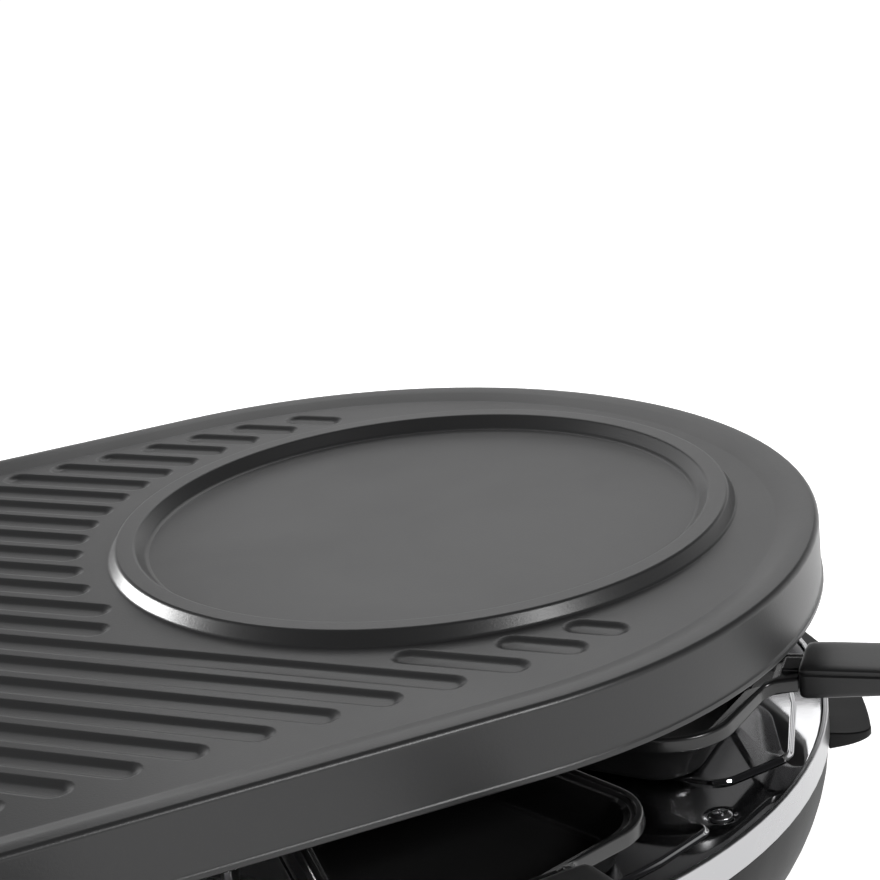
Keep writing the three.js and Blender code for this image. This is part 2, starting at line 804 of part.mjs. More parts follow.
// Turns a piece made standing up so that it faces -Y, with its foot at the given point.
function faceFront(geometry, x, y, z) {
  return geometry.rotateX(Math.PI / 2).translate(x, y, z);
}

const SHAFT_R = 2.8;

function thermostatKnob() {
  const r = KNOB.r;
  const body = spin([[0, 0], [r - 0.6, 0], [r, 0.8], [r - 0.4, 5.5], [r - 1.4, 6.4], [0, 6.4]], 28);
  const grip = block(-3.6, 3.6, -r + 1.8, r - 1.8, 5.5, KNOB.depth, 2.3, 1.0);
  const pointer = block(-0.6, 0.6, 4.5, r - 3.2, KNOB.depth - 0.6, KNOB.depth + 1, 0.3, 0.1);
  const bore = rod(SHAFT_R + 0.4, -1, 9, 0, 0, 14);
  return faceFront(cut(join(body, grip), pointer, bore), KNOB.x, KNOB.y, KNOB.z);
}

function thermostatShaft() {
  return faceFront(rod(SHAFT_R, -17, 8.5, 0, 0, 14), KNOB.x, KNOB.y, KNOB.z);
}

function thermostatBody() {
  const cup = spin([[0, 0], [10.6, 0], [11.5, 1], [11.5, 13], [10.6, 14], [0, 14]], 16);
  const bush = rod(6, 13, 21, 0, 0, 12);
  const bore = rod(SHAFT_R + 0.5, 4, 30, 0, 0, 14);
  return faceFront(cut(join(cup, bush), bore), KNOB.x, -126, KNOB.z);
}

function pilotLamp() {
  const lens = spin([[0, -8], [3.4, -8], [3.4, 0], [5, 0], [5, 0.9], [4.2, 2], [2.4, 2.8], [0, 3]], 12);
  return faceFront(lens, LAMP_X, KNOB.y + 0.1, KNOB.z);
}

function cableGland() {
  const bush = spin(
    [[3.6, -10], [6, -10], [6, 0], [9.5, 0], [9.5, 1.6], [7.4, 3], [6.4, 11], [5.2, 12], [3.6, 12]],
    14
  );
  return bush.rotateX(-Math.PI / 2).translate(0, 150.5, GLAND_Z);
}

// Assembly.

add('grill_plate', grillPlate(), COATED_PLATE);
add('trim_ring', trimRing(), SATIN_STEEL);
add('reflector_tray', reflectorTray(), POLISHED);
add('base_housing', baseHousing(), DARK_PLASTIC);
add('carry_ledge_right', carryLedge(1), DARK_PLASTIC);
add('carry_ledge_left', carryLedge(-1), DARK_PLASTIC);
add('heating_element', heatingElement(), HEATER_STEEL);
add('terminal_box', terminalBox(), SATIN_STEEL);
addSupports();
addPans();
addTrayScrews();
addFeet();
add('thermostat_knob', thermostatKnob(), BLACK_PLASTIC);
add('thermostat_shaft', thermostatShaft(), SATIN_STEEL);
add('thermostat_body', thermostatBody(), CERAMIC);
add('pilot_lamp_lens', pilotLamp(), RED_LENS);
add('cable_gland', cableGland(), BLACK_PLASTIC);

export default group;
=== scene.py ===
# %% [markdown]
# A raclette grill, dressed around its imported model.
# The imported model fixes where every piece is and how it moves. This lesson gives each visible piece
# its smooth surface and its finish: the cast grill plate, the mirror tray under it, the bright band
# and the plastic base, and eight small pans with their handles.

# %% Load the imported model
import math

import bmesh
import bpy
from mathutils import Matrix, Vector


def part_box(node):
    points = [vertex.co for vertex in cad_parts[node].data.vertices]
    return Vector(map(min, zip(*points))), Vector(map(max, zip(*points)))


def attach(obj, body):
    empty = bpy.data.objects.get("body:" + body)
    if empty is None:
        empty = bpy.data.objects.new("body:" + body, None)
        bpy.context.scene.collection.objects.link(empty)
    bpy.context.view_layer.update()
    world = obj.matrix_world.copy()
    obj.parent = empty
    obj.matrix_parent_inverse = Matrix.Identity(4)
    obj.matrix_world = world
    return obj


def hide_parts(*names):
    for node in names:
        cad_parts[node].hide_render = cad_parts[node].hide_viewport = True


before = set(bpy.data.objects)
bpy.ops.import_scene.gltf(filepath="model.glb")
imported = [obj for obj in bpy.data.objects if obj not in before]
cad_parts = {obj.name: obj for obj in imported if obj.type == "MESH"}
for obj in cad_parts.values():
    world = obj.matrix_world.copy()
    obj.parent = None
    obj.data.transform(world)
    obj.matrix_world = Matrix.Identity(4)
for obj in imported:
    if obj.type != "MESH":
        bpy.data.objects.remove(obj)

for spare in ("Cube", "Light", "Camera"):  # Blender starts with these three
    if spare in bpy.data.objects:
        bpy.data.objects.remove(bpy.data.objects[spare])
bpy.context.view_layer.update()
MM = 0.001  # outlines below are written in millimetres and turned into metres by this

# %% [markdown]
# The camera comes first, because every later choice is judged through it. It stands low over the
# near left side of the table and looks along the plate with a long lens, so the oval is seen at a
# shallow angle. Its right and up directions are written down, and the third axis follows from them,
# which keeps the three exactly square to each other.

# %% The camera
CAMERA_PLACE = Vector((-0.13468, -0.61058, 0.35451))
CAMERA_RIGHT = Vector((0.9140, -0.3930, -0.1011)).normalized()
CAMERA_UP = Vector((0.2132, 0.2532, 0.9436))
CAMERA_LENS = 95.87  # millimetres, for a sensor 36 wide

camera_back = CAMERA_RIGHT.cross(CAMERA_UP).normalized()
camera_axes = Matrix((CAMERA_RIGHT, camera_back.cross(CAMERA_RIGHT), camera_back)).transposed()
camera = bpy.data.objects.new("camera", bpy.data.cameras.new("camera"))
camera.data.lens = CAMERA_LENS
camera.matrix_world = Matrix.Translation(CAMERA_PLACE) @ camera_axes.to_4x4()
bpy.context.scene.collection.objects.link(camera)
bpy.context.scene.camera = camera
print("camera looks along", [round(-c, 3) for c in camera_back])

# %% [markdown]
# Every material is a small tree of nodes. One helper makes each node in one call, with its values
# and what is plugged into it.

# %% A helper for nodes
def add_node(tree, kind, links=(), **values):
    """Adds a node, sets its options and sockets, with _ for a space, and links outputs to it."""
    node = tree.nodes.new("ShaderNode" + kind)
    for key, value in values.items():
        socket = key.replace("_", " ")
        if socket in node.inputs.keys():
            node.inputs[socket].default_value = value
        else:
            setattr(node, key, value)
    for output, key in links:
        tree.links.new(output, node.inputs[key])
    return node


def seen_directly(tree):
    """1 for rays from the camera and for rays that a mirror or glass sends on, and 0 for the rest."""
    path = add_node(tree, "LightPath").outputs
    seen = path["Is Camera Ray"]
    for name in ("Is Glossy Ray", "Is Transmission Ray"):
        seen = add_node(tree, "Math", [(path[name], 0), (seen, 1)], operation="MAXIMUM").outputs[0]
    return seen, path["Is Camera Ray"]


print("helpers:", add_node.__name__, seen_directly.__name__)

# %% [markdown]
# The studio is a white table in front of a white wall, under a dark ceiling. The camera sees white
# all over. Mirrors see white near the horizon, dimmer behind the camera and dark overhead. The light
# that falls on the object is lower, so colours render about as they are written. The Light Path node
# switches between the three.

# %% The world
WHITE = (1, 1, 1, 1)
WALL_TOP = 0.24  # height of a direction, from 0 at the horizon to 1 overhead, where the wall ends
CEILING_FROM = 0.42
CEILING = (0.03, 0.03, 0.032, 1)
AMBIENT = 0.27
FRONT_LEVEL = 0.4  # how bright the wall behind the camera is, beside the one behind the grill
FRONT_FROM = -0.7  # how far a direction points back or forward where the two walls' levels are reached
BACK_FROM = 0.2

view = bpy.context.scene.view_settings
view.view_transform = "Standard"
world = bpy.data.worlds.new("studio")
bpy.context.scene.world = world
world.use_nodes = True
tree = world.node_tree
tree.nodes.clear()
seen, by_camera = seen_directly(tree)
direction = add_node(tree, "TexCoord").outputs["Generated"]
height = add_node(tree, "SeparateXYZ", [(direction, 0)])
ramp = add_node(tree, "ValToRGB", [(height.outputs["Z"], "Fac")])
low, high = ramp.color_ramp.elements
low.position, low.color = WALL_TOP, WHITE
high.position, high.color = CEILING_FROM, CEILING
dim = add_node(tree, "MapRange", [(height.outputs["Y"], "Value")],
               From_Min=FRONT_FROM, From_Max=BACK_FROM, To_Min=FRONT_LEVEL, To_Max=1)
dimmed = add_node(tree, "VectorMath", [(ramp.outputs["Color"], 0), (dim.outputs[0], "Scale")],
                  operation="SCALE")
wall = add_node(tree, "Mix", [(by_camera, "Factor"), (dimmed.outputs[0], "A")], data_type="RGBA", B=WHITE)
shown = add_node(tree, "Background", [(wall.outputs["Result"], "Color")])
lighting = add_node(tree, "Background", Color=WHITE, Strength=AMBIENT)
mix = add_node(tree, "MixShader", [(seen, "Fac"), (lighting.outputs[0], 1), (shown.outputs[0], 2)])
add_node(tree, "OutputWorld", [(mix.outputs[0], "Surface")])
print("world nodes:", len(tree.nodes))

# %% [markdown]
# The floor is one wide table top. Its material adds a little light of its own for the camera, so it
# stays white, and keeps a diffuse part, so the grill's shadow still falls on it.

# %% The floor
FLOOR_SIZE = 8.0
FLOOR_DROP = 0.0002  # how far the table top lies below the feet
FLOOR_COLOUR = (0.86, 0.86, 0.86, 1)
FLOOR_GLOW = 0.8


def deselect():
    """Leaves edit mode and selects nothing, so that an operator acts on what is made next."""
    if bpy.context.object and bpy.context.object.mode != "OBJECT":
        bpy.ops.object.mode_set(mode="OBJECT")
    bpy.ops.object.select_all(action="DESELECT")


deselect()
bpy.ops.mesh.primitive_plane_add(size=FLOOR_SIZE, location=(0, 0, -FLOOR_DROP))
floor = bpy.context.object
floor.name = "floor"
table_top = bpy.data.materials.new("white_table")
table_top.use_nodes = True
tree = table_top.node_tree
tree.nodes.clear()
matt = add_node(tree, "BsdfDiffuse", Color=FLOOR_COLOUR)
level = add_node(tree, "Math", [(seen_directly(tree)[0], 0)], operation="MULTIPLY")
level.inputs[1].default_value = FLOOR_GLOW
glow = add_node(tree, "Emission", [(level.outputs[0], "Strength")])
both = add_node(tree, "AddShader", [(matt.outputs[0], 0), (glow.outputs[0], 1)])
add_node(tree, "OutputMaterial", [(both.outputs[0], "Surface")])
floor.data.materials.append(table_top)
print("floor", FLOOR_SIZE, "m wide")

# %% [markdown]
# Three soft boxes light the grill. A long one stands behind it on the left and leans, so that its
# mirror image runs along the raised ring. A large one behind on the right makes level faces lighter
# than those that face the camera. A small one over the near right side draws the bright line on the
# rim's corner. None of them shows in the picture.

# %% The lamps
LIT_PLACE = Vector((0.05, 0, 0.1))  # the lamps face this point
LAMPS = {  # where it stands, how wide and long it is, which way its long side leans, and its watts
    "lamp_back_left": ((-0.98, 1.08, 0.40), (0.30, 0.9), (-0.58, -0.68, 0.45), 34.0),
    "lamp_back": ((0.70, 1.15, 1.12), (1.0, 0.8), (0, 0, 1), 4.2),
    "lamp_front": ((0.55, -1.3, 0.87), (0.30, 0.30), (0, 0, 1), 12.0),
}
for name, (place, (wide, long), lean, watts) in LAMPS.items():
    lamp = bpy.data.objects.new(name, bpy.data.lights.new(name, "AREA"))
    lamp.data.shape = "RECTANGLE"
    lamp.data.size = wide
    lamp.data.size_y = long
    lamp.data.energy = watts
    lamp.visible_camera = False
    back = (Vector(place) - LIT_PLACE).normalized()
    aside = Vector(lean).cross(back).normalized()
    axes = Matrix((aside, back.cross(aside), back)).transposed()
    lamp.matrix_world = Matrix.Translation(place) @ axes.to_4x4()
    bpy.context.scene.collection.objects.link(lamp)
print("lamps:", sorted(LAMPS))

# %% [markdown]
# Finishes share three effects, each built once as a node group. The first is the grain of a cast or
# moulded surface: a fine bump with tiny pale flecks. The second is handling: broad soft patches
# where a surface is a little duller. The third is brushing: fine lines that run level round a metal
# band. Each group reads the Object coordinates that the material gives it.

# %% Node groups
def new_group(name, inputs, outputs):
    """A shader node group with named sockets, what comes in and what goes out."""
    group = bpy.data.node_groups.new(name, "ShaderNodeTree")
    for label, kind, value in inputs:
        socket = group.interface.new_socket(label, in_out="INPUT", socket_type=kind)
        if value is not None:
            socket.default_value = value
    for label, kind in outputs:
        group.interface.new_socket(label, in_out="OUTPUT", socket_type=kind)
    return group, group.nodes.new("NodeGroupInput").outputs, group.nodes.new("NodeGroupOutput").inputs


VECTOR, FLOAT, COLOR = "NodeSocketVector", "NodeSocketFloat", "NodeSocketColor"
FLECK_EDGE = (0.16, 0.04)  # distances from a cell's middle where a fleck fades out and is full
FLECK_SHARE = (0.54, 0.68)  # levels of the noise between which flecks appear
PATCH_RANGE = (0.35, 0.68)  # levels of the noise from the shiniest patch to the dullest

grain, inside, outside = new_group(
    "cast_grain",
    [("Place", VECTOR, None), ("Size", FLOAT, 1400.0), ("Base", COLOR, None), ("Fleck", COLOR, None)],
    [("Color", COLOR), ("Height", FLOAT)],
)
noise = add_node(grain, "TexNoise", [(inside["Place"], "Vector"), (inside["Size"], "Scale")],
                 Detail=3.0, Roughness=0.6)
cells = add_node(grain, "TexVoronoi", [(inside["Place"], "Vector"), (inside["Size"], "Scale")])
near = add_node(grain, "MapRange", [(cells.outputs["Distance"], "Value")],
                From_Min=FLECK_EDGE[0], From_Max=FLECK_EDGE[1])
some = add_node(grain, "MapRange", [(noise.outputs["Fac"], "Value")],
                From_Min=FLECK_SHARE[0], From_Max=FLECK_SHARE[1])
fleck = add_node(grain, "Math", [(near.outputs[0], 0), (some.outputs[0], 1)], operation="MULTIPLY")
tint = add_node(grain, "Mix", [(fleck.outputs[0], "Factor"), (inside["Base"], "A"), (inside["Fleck"], "B")],
                data_type="RGBA")
grain.links.new(tint.outputs["Result"], outside["Color"])
grain.links.new(noise.outputs["Fac"], outside["Height"])

handling, inside, outside = new_group(
    "handling",
    [("Place", VECTOR, None), ("Size", FLOAT, 22.0), ("Low", FLOAT, 0.3), ("High", FLOAT, 0.4)],
    [("Roughness", FLOAT)],
)
noise = add_node(handling, "TexNoise", [(inside["Place"], "Vector"), (inside["Size"], "Scale")],
                 Detail=5.0, Roughness=0.55, Distortion=0.4)
spread = add_node(handling, "MapRange",
                  [(noise.outputs["Fac"], "Value"), (inside["Low"], "To Min"), (inside["High"], "To Max")],
                  From_Min=PATCH_RANGE[0], From_Max=PATCH_RANGE[1])
handling.links.new(spread.outputs[0], outside["Roughness"])

brushing, inside, outside = new_group(
    "brushing",
    [("Place", VECTOR, None), ("Along", FLOAT, 12.0), ("Across", FLOAT, 2600.0)],
    [("Lines", FLOAT)],
)
stretch = add_node(brushing, "CombineXYZ",
                   [(inside["Along"], "X"), (inside["Along"], "Y"), (inside["Across"], "Z")])
scaled = add_node(brushing, "VectorMath", [(inside["Place"], 0), (stretch.outputs[0], 1)],
                  operation="MULTIPLY")
noise = add_node(brushing, "TexNoise", [(scaled.outputs[0], "Vector")], Scale=1.0, Detail=3.0)
brushing.links.new(noise.outputs["Fac"], outside["Lines"])
print("node groups:", [g.name for g in (grain, handling, brushing)])

# %% [markdown]
# Each finish is one short call of the same function. What is the same all over a surface, such as
# the metallic value, is set on the shader's own socket. What changes over the surface comes from
# the groups: the flecked colour, the duller patches and the bump.

# %% Finishes
RELIEF_DEPTH = 0.0001  # metres from the lowest to the highest point of a full bump
FINISHES = {}


def grey(value):
    """A neutral colour with a trace of blue, as in the picture."""
    return (value, value, value * 1.02)


def finish(name, colour, fleck, rough, grain_size, bump, brushed=None, **constants):
    """One material with grain and handling, and level brushing lines where brushed is given."""
    material = bpy.data.materials.new(name)
    material.use_nodes = True
    tree = material.node_tree
    shader = tree.nodes["Principled BSDF"]
    for key, value in constants.items():
        shader.inputs[key.replace("_", " ")].default_value = value
    place = add_node(tree, "TexCoord").outputs["Object"]
    grained = add_node(tree, "Group", [(place, "Place")], node_tree=grain,
                       Size=grain_size, Base=(*colour, 1), Fleck=(*fleck, 1))
    handled = add_node(tree, "Group", [(place, "Place")], node_tree=handling, Low=rough[0], High=rough[1])
    height = grained.outputs["Height"]
    if brushed:
        lines = add_node(tree, "Group", [(place, "Place")], node_tree=brushing, Across=brushed)
        height = lines.outputs["Lines"]
    relief = add_node(tree, "Bump", [(height, "Height")], Strength=bump, Distance=RELIEF_DEPTH)
    tree.links.new(grained.outputs["Color"], shader.inputs["Base Color"])
    tree.links.new(handled.outputs["Roughness"], shader.inputs["Roughness"])
    tree.links.new(relief.outputs["Normal"], shader.inputs["Normal"])
    FINISHES[name] = material


finish("coated_plate", grey(0.026), grey(0.065), (0.33, 0.37), 1500, 0.30, Specular_IOR_Level=0.42)
finish("coated_pan", grey(0.012), grey(0.03), (0.20, 0.28), 1200, 0.10)
finish("polished_steel", grey(0.60), grey(0.66), (0.035, 0.075), 300, 0.02, Metallic=1.0)
finish("satin_steel", grey(0.44), grey(0.50), (0.26, 0.34), 400, 0.12, brushed=2600, Metallic=1.0)
finish("black_plastic", grey(0.016), grey(0.03), (0.34, 0.42), 2200, 0.30, Specular_IOR_Level=0.4)
finish("dark_plastic", grey(0.011), grey(0.02), (0.46, 0.56), 2000, 0.30, Specular_IOR_Level=0.2)
finish("heater_steel", (0.10, 0.092, 0.086), (0.2, 0.18, 0.16), (0.42, 0.6), 500, 0.25, Metallic=0.9)
finish("rubber", grey(0.012), grey(0.02), (0.7, 0.85), 1500, 0.4)
finish("red_lens", (0.45, 0.012, 0.008), (0.6, 0.05, 0.03), (0.08, 0.14), 300, 0.02)
finish("ceramic", (0.62, 0.60, 0.54), (0.7, 0.68, 0.62), (0.5, 0.62), 700, 0.2)
print("finishes:", sorted(FINISHES))

# %% [markdown]
# Most pieces of the grill are outlines carried round an oval. In Blender that is done as by hand: a
# single point is drawn out into a profile, spun half a turn about one centre, pulled straight to
# the other centre, spun again and pulled back. The same helper makes the plate, the tray, the band,
# the base and each groove. Corners of a profile are rounded by a formula before it is drawn.

# %% Outline helpers
CORNER_STEP = math.radians(13)  # a rounded corner gets a point for about this much of its turn
NEAR = 1e-6  # points closer than this, in metres, are taken as one
NEW_SIZE = 0.01  # of a primitive before its points are put in their places


def rounded(corners, closed=False):
    """Points of a polyline whose corners, each (x, y, radius), are rounded where the radius asks for it.

    A fourth value in a corner is its number of steps, for outlines that must match point by point."""
    points = []
    count = len(corners)
    for i, (x, y, radius, *given) in enumerate(corners):
        corner = Vector((x, y))
        if not radius or (not closed and i in (0, count - 1)):
            points.append(corner)
            continue
        a = (Vector(corners[i - 1][:2]) - corner).normalized()
        b = (Vector(corners[(i + 1) % count][:2]) - corner).normalized()
        half = a.angle(b) / 2
        centre = corner + (a + b).normalized() * radius / math.sin(half)
        start = corner + a * radius / math.tan(half) - centre
        turn = start.angle_signed(corner + b * radius / math.tan(half) - centre)
        steps = given[0] if given else max(2, round(abs(turn) / CORNER_STEP))
        points += [centre + Matrix.Rotation(-turn * k / steps, 2) @ start for k in range(steps + 1)]
    return points


def select_points(test):
    """Selects, in edit mode, the points that pass the test, with the edges and faces between."""
    bpy.ops.mesh.select_all(action="DESELECT")
    mesh = bmesh.from_edit_mesh(bpy.context.object.data)
    mesh.verts.index_update()
    for vertex in mesh.verts:
        if test(vertex):
            vertex.select_set(True)
    mesh.select_flush(True)
    bmesh.update_edit_mesh(bpy.context.object.data)


def select(test):
    """The same, with a test of each point's place."""
    select_points(lambda vertex: test(vertex.co))


def new_mesh(name):
    """An empty mesh object at the origin, in edit mode."""
    deselect()
    bpy.ops.mesh.primitive_plane_add(size=NEW_SIZE)
    piece = bpy.context.object
    piece.name = piece.data.name = name
    bpy.ops.object.mode_set(mode="EDIT")
    bpy.ops.mesh.delete(type="VERT")
    return piece


def draw(points, closed=False):
    """Draws a line through points in edit mode: a point is put down and drawn out from place to place."""
    bpy.ops.mesh.select_all(action="DESELECT")
    bpy.ops.mesh.primitive_plane_add(size=NEW_SIZE, location=points[0])
    bpy.ops.mesh.merge(type="CENTER")
    for here, there in zip(points, points[1:]):
        bpy.ops.mesh.extrude_vertices_move(TRANSFORM_OT_translate={"value": there - here})
    if closed:
        ends = (points[0], points[-1])
        select(lambda co: min((co - end).length for end in ends) < 1e-7)
        bpy.ops.mesh.edge_face_add()


def tidy(outward=True):
    """Merges doubles over the whole mesh and turns its faces outward."""
    bpy.ops.mesh.select_all(action="SELECT")
    bpy.ops.mesh.remove_doubles(threshold=NEAR)
    if outward:
        bpy.ops.mesh.normals_make_consistent(inside=False)


def fill(test):
    """Fills the edges between the points that pass the test with one face."""
    select(test)
    bpy.ops.mesh.edge_face_add()


def level_inside(z, half, radius):
    """A test for points at height z in an oval, with z and half in metres and radius in millimetres."""
    return lambda co: abs(co.z - z) < NEAR and math.hypot(max(abs(co.x) - half, 0), co.y) < radius * MM


def sweep_oval(profile, a, b, steps):
    """Carries a profile of (radius, height) pairs in metres round the oval with centres a and b."""
    along = (b - a).normalized() if a != b else Vector((1, 0, 0))
    across = Vector((along.y, -along.x, 0))
    draw([b + across * r + Vector((0, 0, z)) for r, z in profile])
    select(lambda co: abs((co - b).dot(along)) < 1e-7 and (co - b).dot(across) > -1e-7
           and min(abs((co - b).dot(across) - r) + abs(co.z - z) for r, z in profile) < NEAR)
    for centre, other in ((b, a), (a, b)):
        bpy.ops.mesh.spin(steps=steps, angle=-math.pi, center=centre, axis=(0, 0, 1))
        if a != b:
            bpy.ops.mesh.extrude_region_move(TRANSFORM_OT_translate={"value": other - centre})


def metres(profile, lift=0):
    """A profile in millimetres as (radius, height) pairs in metres, raised by lift metres."""
    return [(r * MM, lift + z * MM) for r, z in profile]


def only(piece):
    """Selects one piece and makes it active, in object mode."""
    deselect()
    bpy.context.view_layer.objects.active = piece
    piece.select_set(True)


def apply(piece, kind, **values):
    """Adds a modifier to a piece and applies it."""
    only(piece)
    modifier = piece.modifiers.new(kind.lower(), kind)
    for key, value in values.items():
        setattr(modifier, key, value)
    bpy.ops.object.modifier_apply(modifier=modifier.name)


def combine(piece, tool, operation="DIFFERENCE"):
    """Cuts a piece with a tool, or joins them, and removes the tool."""
    apply(piece, "BOOLEAN", object=tool, operation=operation, solver="EXACT")
    bpy.data.objects.remove(tool)


def smooth(piece, angle):
    """Smooth shading that keeps flat faces flat and edges sharper than the angle crisp."""
    only(piece)
    bpy.ops.object.shade_smooth_by_angle(angle=math.radians(angle))
    apply(piece, "WEIGHTED_NORMAL", keep_sharp=True, weight=60)


def copied(piece, name, place):
    """A copy of a piece with its own mesh, moved by a matrix."""
    copy = piece.copy()
    copy.data = piece.data.copy()
    copy.name = copy.data.name = name
    copy.data.transform(place)
    bpy.context.scene.collection.objects.link(copy)
    return copy


def hand_in(piece, body, look, node, crease=0):
    """Gives a piece its finish, its body and the node that it stands for, and prints its size.

    Where crease is given, it is shaded smooth first, and edges sharper than that angle stay crisp."""
    if crease:
        smooth(piece, crease)
    deselect()
    piece.data.materials.clear()
    piece.data.materials.append(FINISHES[look])
    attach(piece, body)
    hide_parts(node)
    size = [round(side / MM, 1) for side in piece.dimensions]
    print(f"{piece.name}: {len(piece.data.polygons)} faces, {size} mm")


print("a rounded corner:", len(rounded([(0, 0, 0), (9, 0, 3), (9, 9, 0)])) - 2, "points")

# %% [markdown]
# The grill plate is one aluminium casting. Its rim rises in a soft wave to a crest and drops into a
# tall skirt. The body is swept round the oval with its flat top left open, then the top and the
# underside are each filled as one flat face.

# %% The plate's body
plate_low, plate_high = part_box("grill_plate")
RING_HEIGHT = 3.9  # the crepe ring stands this high, and its crest is the plate's highest place
PLATE_TOP = plate_high.z - RING_HEIGHT * MM
SKIRT_R = plate_high.y / MM
PLATE_HALF = plate_high.x - plate_high.y
SKIRT_LOW = (plate_low.z - PLATE_TOP) / MM
PLATE_FLAT = 126.5  # the flat cooking surface ends here
PLATE_THICK = 4.6
CREPE_CENTRE = Vector((95.2, 0, 0)) * MM
HALF_TURN_STEPS = 60

rim_profile = rounded([
    (PLATE_FLAT, 0, 0),
    (128.3, 0, 3),
    (135.4, 1.95, 12),
    (140.35, 1.5, 1.7),
    (SKIRT_R - 0.5, SKIRT_LOW + 2.2, 0),
    (SKIRT_R, SKIRT_LOW + 1.6, 0.5),
    (SKIRT_R, SKIRT_LOW, 0.6),
    (138.0, SKIRT_LOW, 0.6),
    (135.8, -PLATE_THICK - 0.6, 3),
    (PLATE_FLAT, -PLATE_THICK, 0),
])
plate = new_mesh("plate_casting")
sweep_oval(metres(rim_profile, PLATE_TOP), Vector((-PLATE_HALF, 0, 0)), Vector((PLATE_HALF, 0, 0)),
           HALF_TURN_STEPS)
tidy(outward=False)
for z in (PLATE_TOP, PLATE_TOP - PLATE_THICK * MM):
    fill(level_inside(z, PLATE_HALF, PLATE_FLAT + 0.01))
tidy()
deselect()
print("plate body faces:", len(plate.data.polygons))

# %% [markdown]
# A raised ring marks the place for crepes. It belongs to the casting, so it is made as a body of its
# own and joined on, with feet that run out flat just under the surface so that no crease shows.

# %% The crepe ring
SUNK = 0.05  # how far the ring's feet lie under the flat surface
RING_INNER = 78.6
RING_OUTER = 97.0
RING_ROOT = -1.5  # the ring's body reaches this far into the plate
ring_profile = rounded([
    (RING_INNER, -SUNK, 0),
    (81.6, -SUNK, 2.5),
    (84.9, RING_HEIGHT, 1.3),
    (90.6, RING_HEIGHT, 1.3),
    (92.8, -SUNK, 1.4),
    (RING_OUTER, -SUNK, 0),
]) + [(RING_OUTER, RING_ROOT), (RING_INNER, RING_ROOT), (RING_INNER, -SUNK)]
crepe_ring = new_mesh("crepe_ring")
sweep_oval(metres(ring_profile, PLATE_TOP), CREPE_CENTRE, CREPE_CENTRE, HALF_TURN_STEPS)
tidy()
combine(plate, crepe_ring, "UNION")
print("with the ring:", len(plate.data.polygons))

# %% [markdown]
# The grooves run slantwise over the whole plate and stop round the ring and along the rim. One
# cutter is modelled, a long trough whose shoulders flare out flat, and every groove is a copy of it
# with its far end pulled out to the right length. All the copies are cut in one go.

# %% The grooves
GROOVE_SLANT = math.radians(47.1)  # how far a groove's direction turns from the long axis
SLANT = Vector((math.cos(GROOVE_SLANT), -math.sin(GROOVE_SLANT), 0))
GROOVE_LINES = range(-19, 14)
GROOVE_MIDDLE = 12.7  # how far line 0 lies from the plate's middle, square to the grooves
GROOVE_PITCH = 11.95
PITCH_EASE = 0.03  # how much the pitch changes from line to line
EASE_LAST = -8  # and the line past which it changes no more
FAN_PLACE = (45, -60)  # right of this place and nearer than it the lines spread a little
FAN = 0.075
RIM_STOP = (117.1, 4.1, 60)  # the grooves' reach, its change to either side, and where that is full
RING_STOPS = ((-40, 100.2), (-15, 109.0))  # up to this y the grooves stop so far from the ring's centre
RING_STOP_FAR = (103.5, 0.05)  # behind those, the distance and how it grows with y
GROOVE_NEAREST = -111.6
GROOVE_SHORTEST = 7.0
GROOVE_STEP = 0.25
GROOVE_START = 130  # each line is walked from here towards the near side, over GROOVE_WALK
GROOVE_WALK = 260
GROOVE_DEEP = -1.15
GROOVE_LIP = 0.03  # how far the shoulders flare out above the flat surface
GROOVE_HALF = 5.5  # half the cutter's width at its top
GROOVE_PROFILE = rounded([(0, GROOVE_DEEP, 0), (2.4, GROOVE_DEEP, 3.0), (4.3, GROOVE_LIP, 3.0),
                          (GROOVE_HALF, GROOVE_LIP, 0)])
CUTTER_TOP = 1.5
TROUGH = 20 * MM  # length of the cutter that is copied


def line_offset(k):
    """How far line k lies from the plate's middle, measured square to the grooves."""
    return GROOVE_MIDDLE + GROOVE_PITCH * k - PITCH_EASE * k * max(k, EASE_LAST)


def line_x(k, y):
    """Where line k is at this distance back."""
    x = (line_offset(k) - y * SLANT.x) / -SLANT.y
    return x + (max(0, FAN * (x - FAN_PLACE[0])) if y < FAN_PLACE[1] else 0)


def rim_stop(y):
    """How far from the round end's centre the grooves stop: less on the near side than on the far one."""
    reach, change, side = RIM_STOP
    return reach + change * min(max(y / side, -1), 1)


def ring_stop(y):
    """How far from the ring's centre the grooves stop, at this distance back."""
    for before, stop in RING_STOPS:
        if y < before:
            return stop
    return RING_STOP_FAR[0] + RING_STOP_FAR[1] * y


def is_grooved(x, y):
    """True where the pattern of grooves covers the plate."""
    end_r = math.hypot(max(abs(x) - PLATE_HALF / MM, 0), y)
    from_ring = math.hypot(x - CREPE_CENTRE.x / MM, y)
    return y > GROOVE_NEAREST and end_r < rim_stop(y) and from_ring > ring_stop(y)


def groove_lines():
    """Start and end of each groove, found by walking down each slanting line."""
    lines = []
    for k in GROOVE_LINES:
        start = None
        for i in range(round(GROOVE_WALK / GROOVE_STEP) + 1):
            y = GROOVE_START - GROOVE_STEP * i
            x = line_x(k, y)
            if is_grooved(x, y):
                start = start or Vector((x, y, 0))
            elif start:
                end = Vector((x, y, 0))
                if (end - start).length > GROOVE_SHORTEST:
                    lines.append((start * MM, end * MM))
                start = None
    return lines


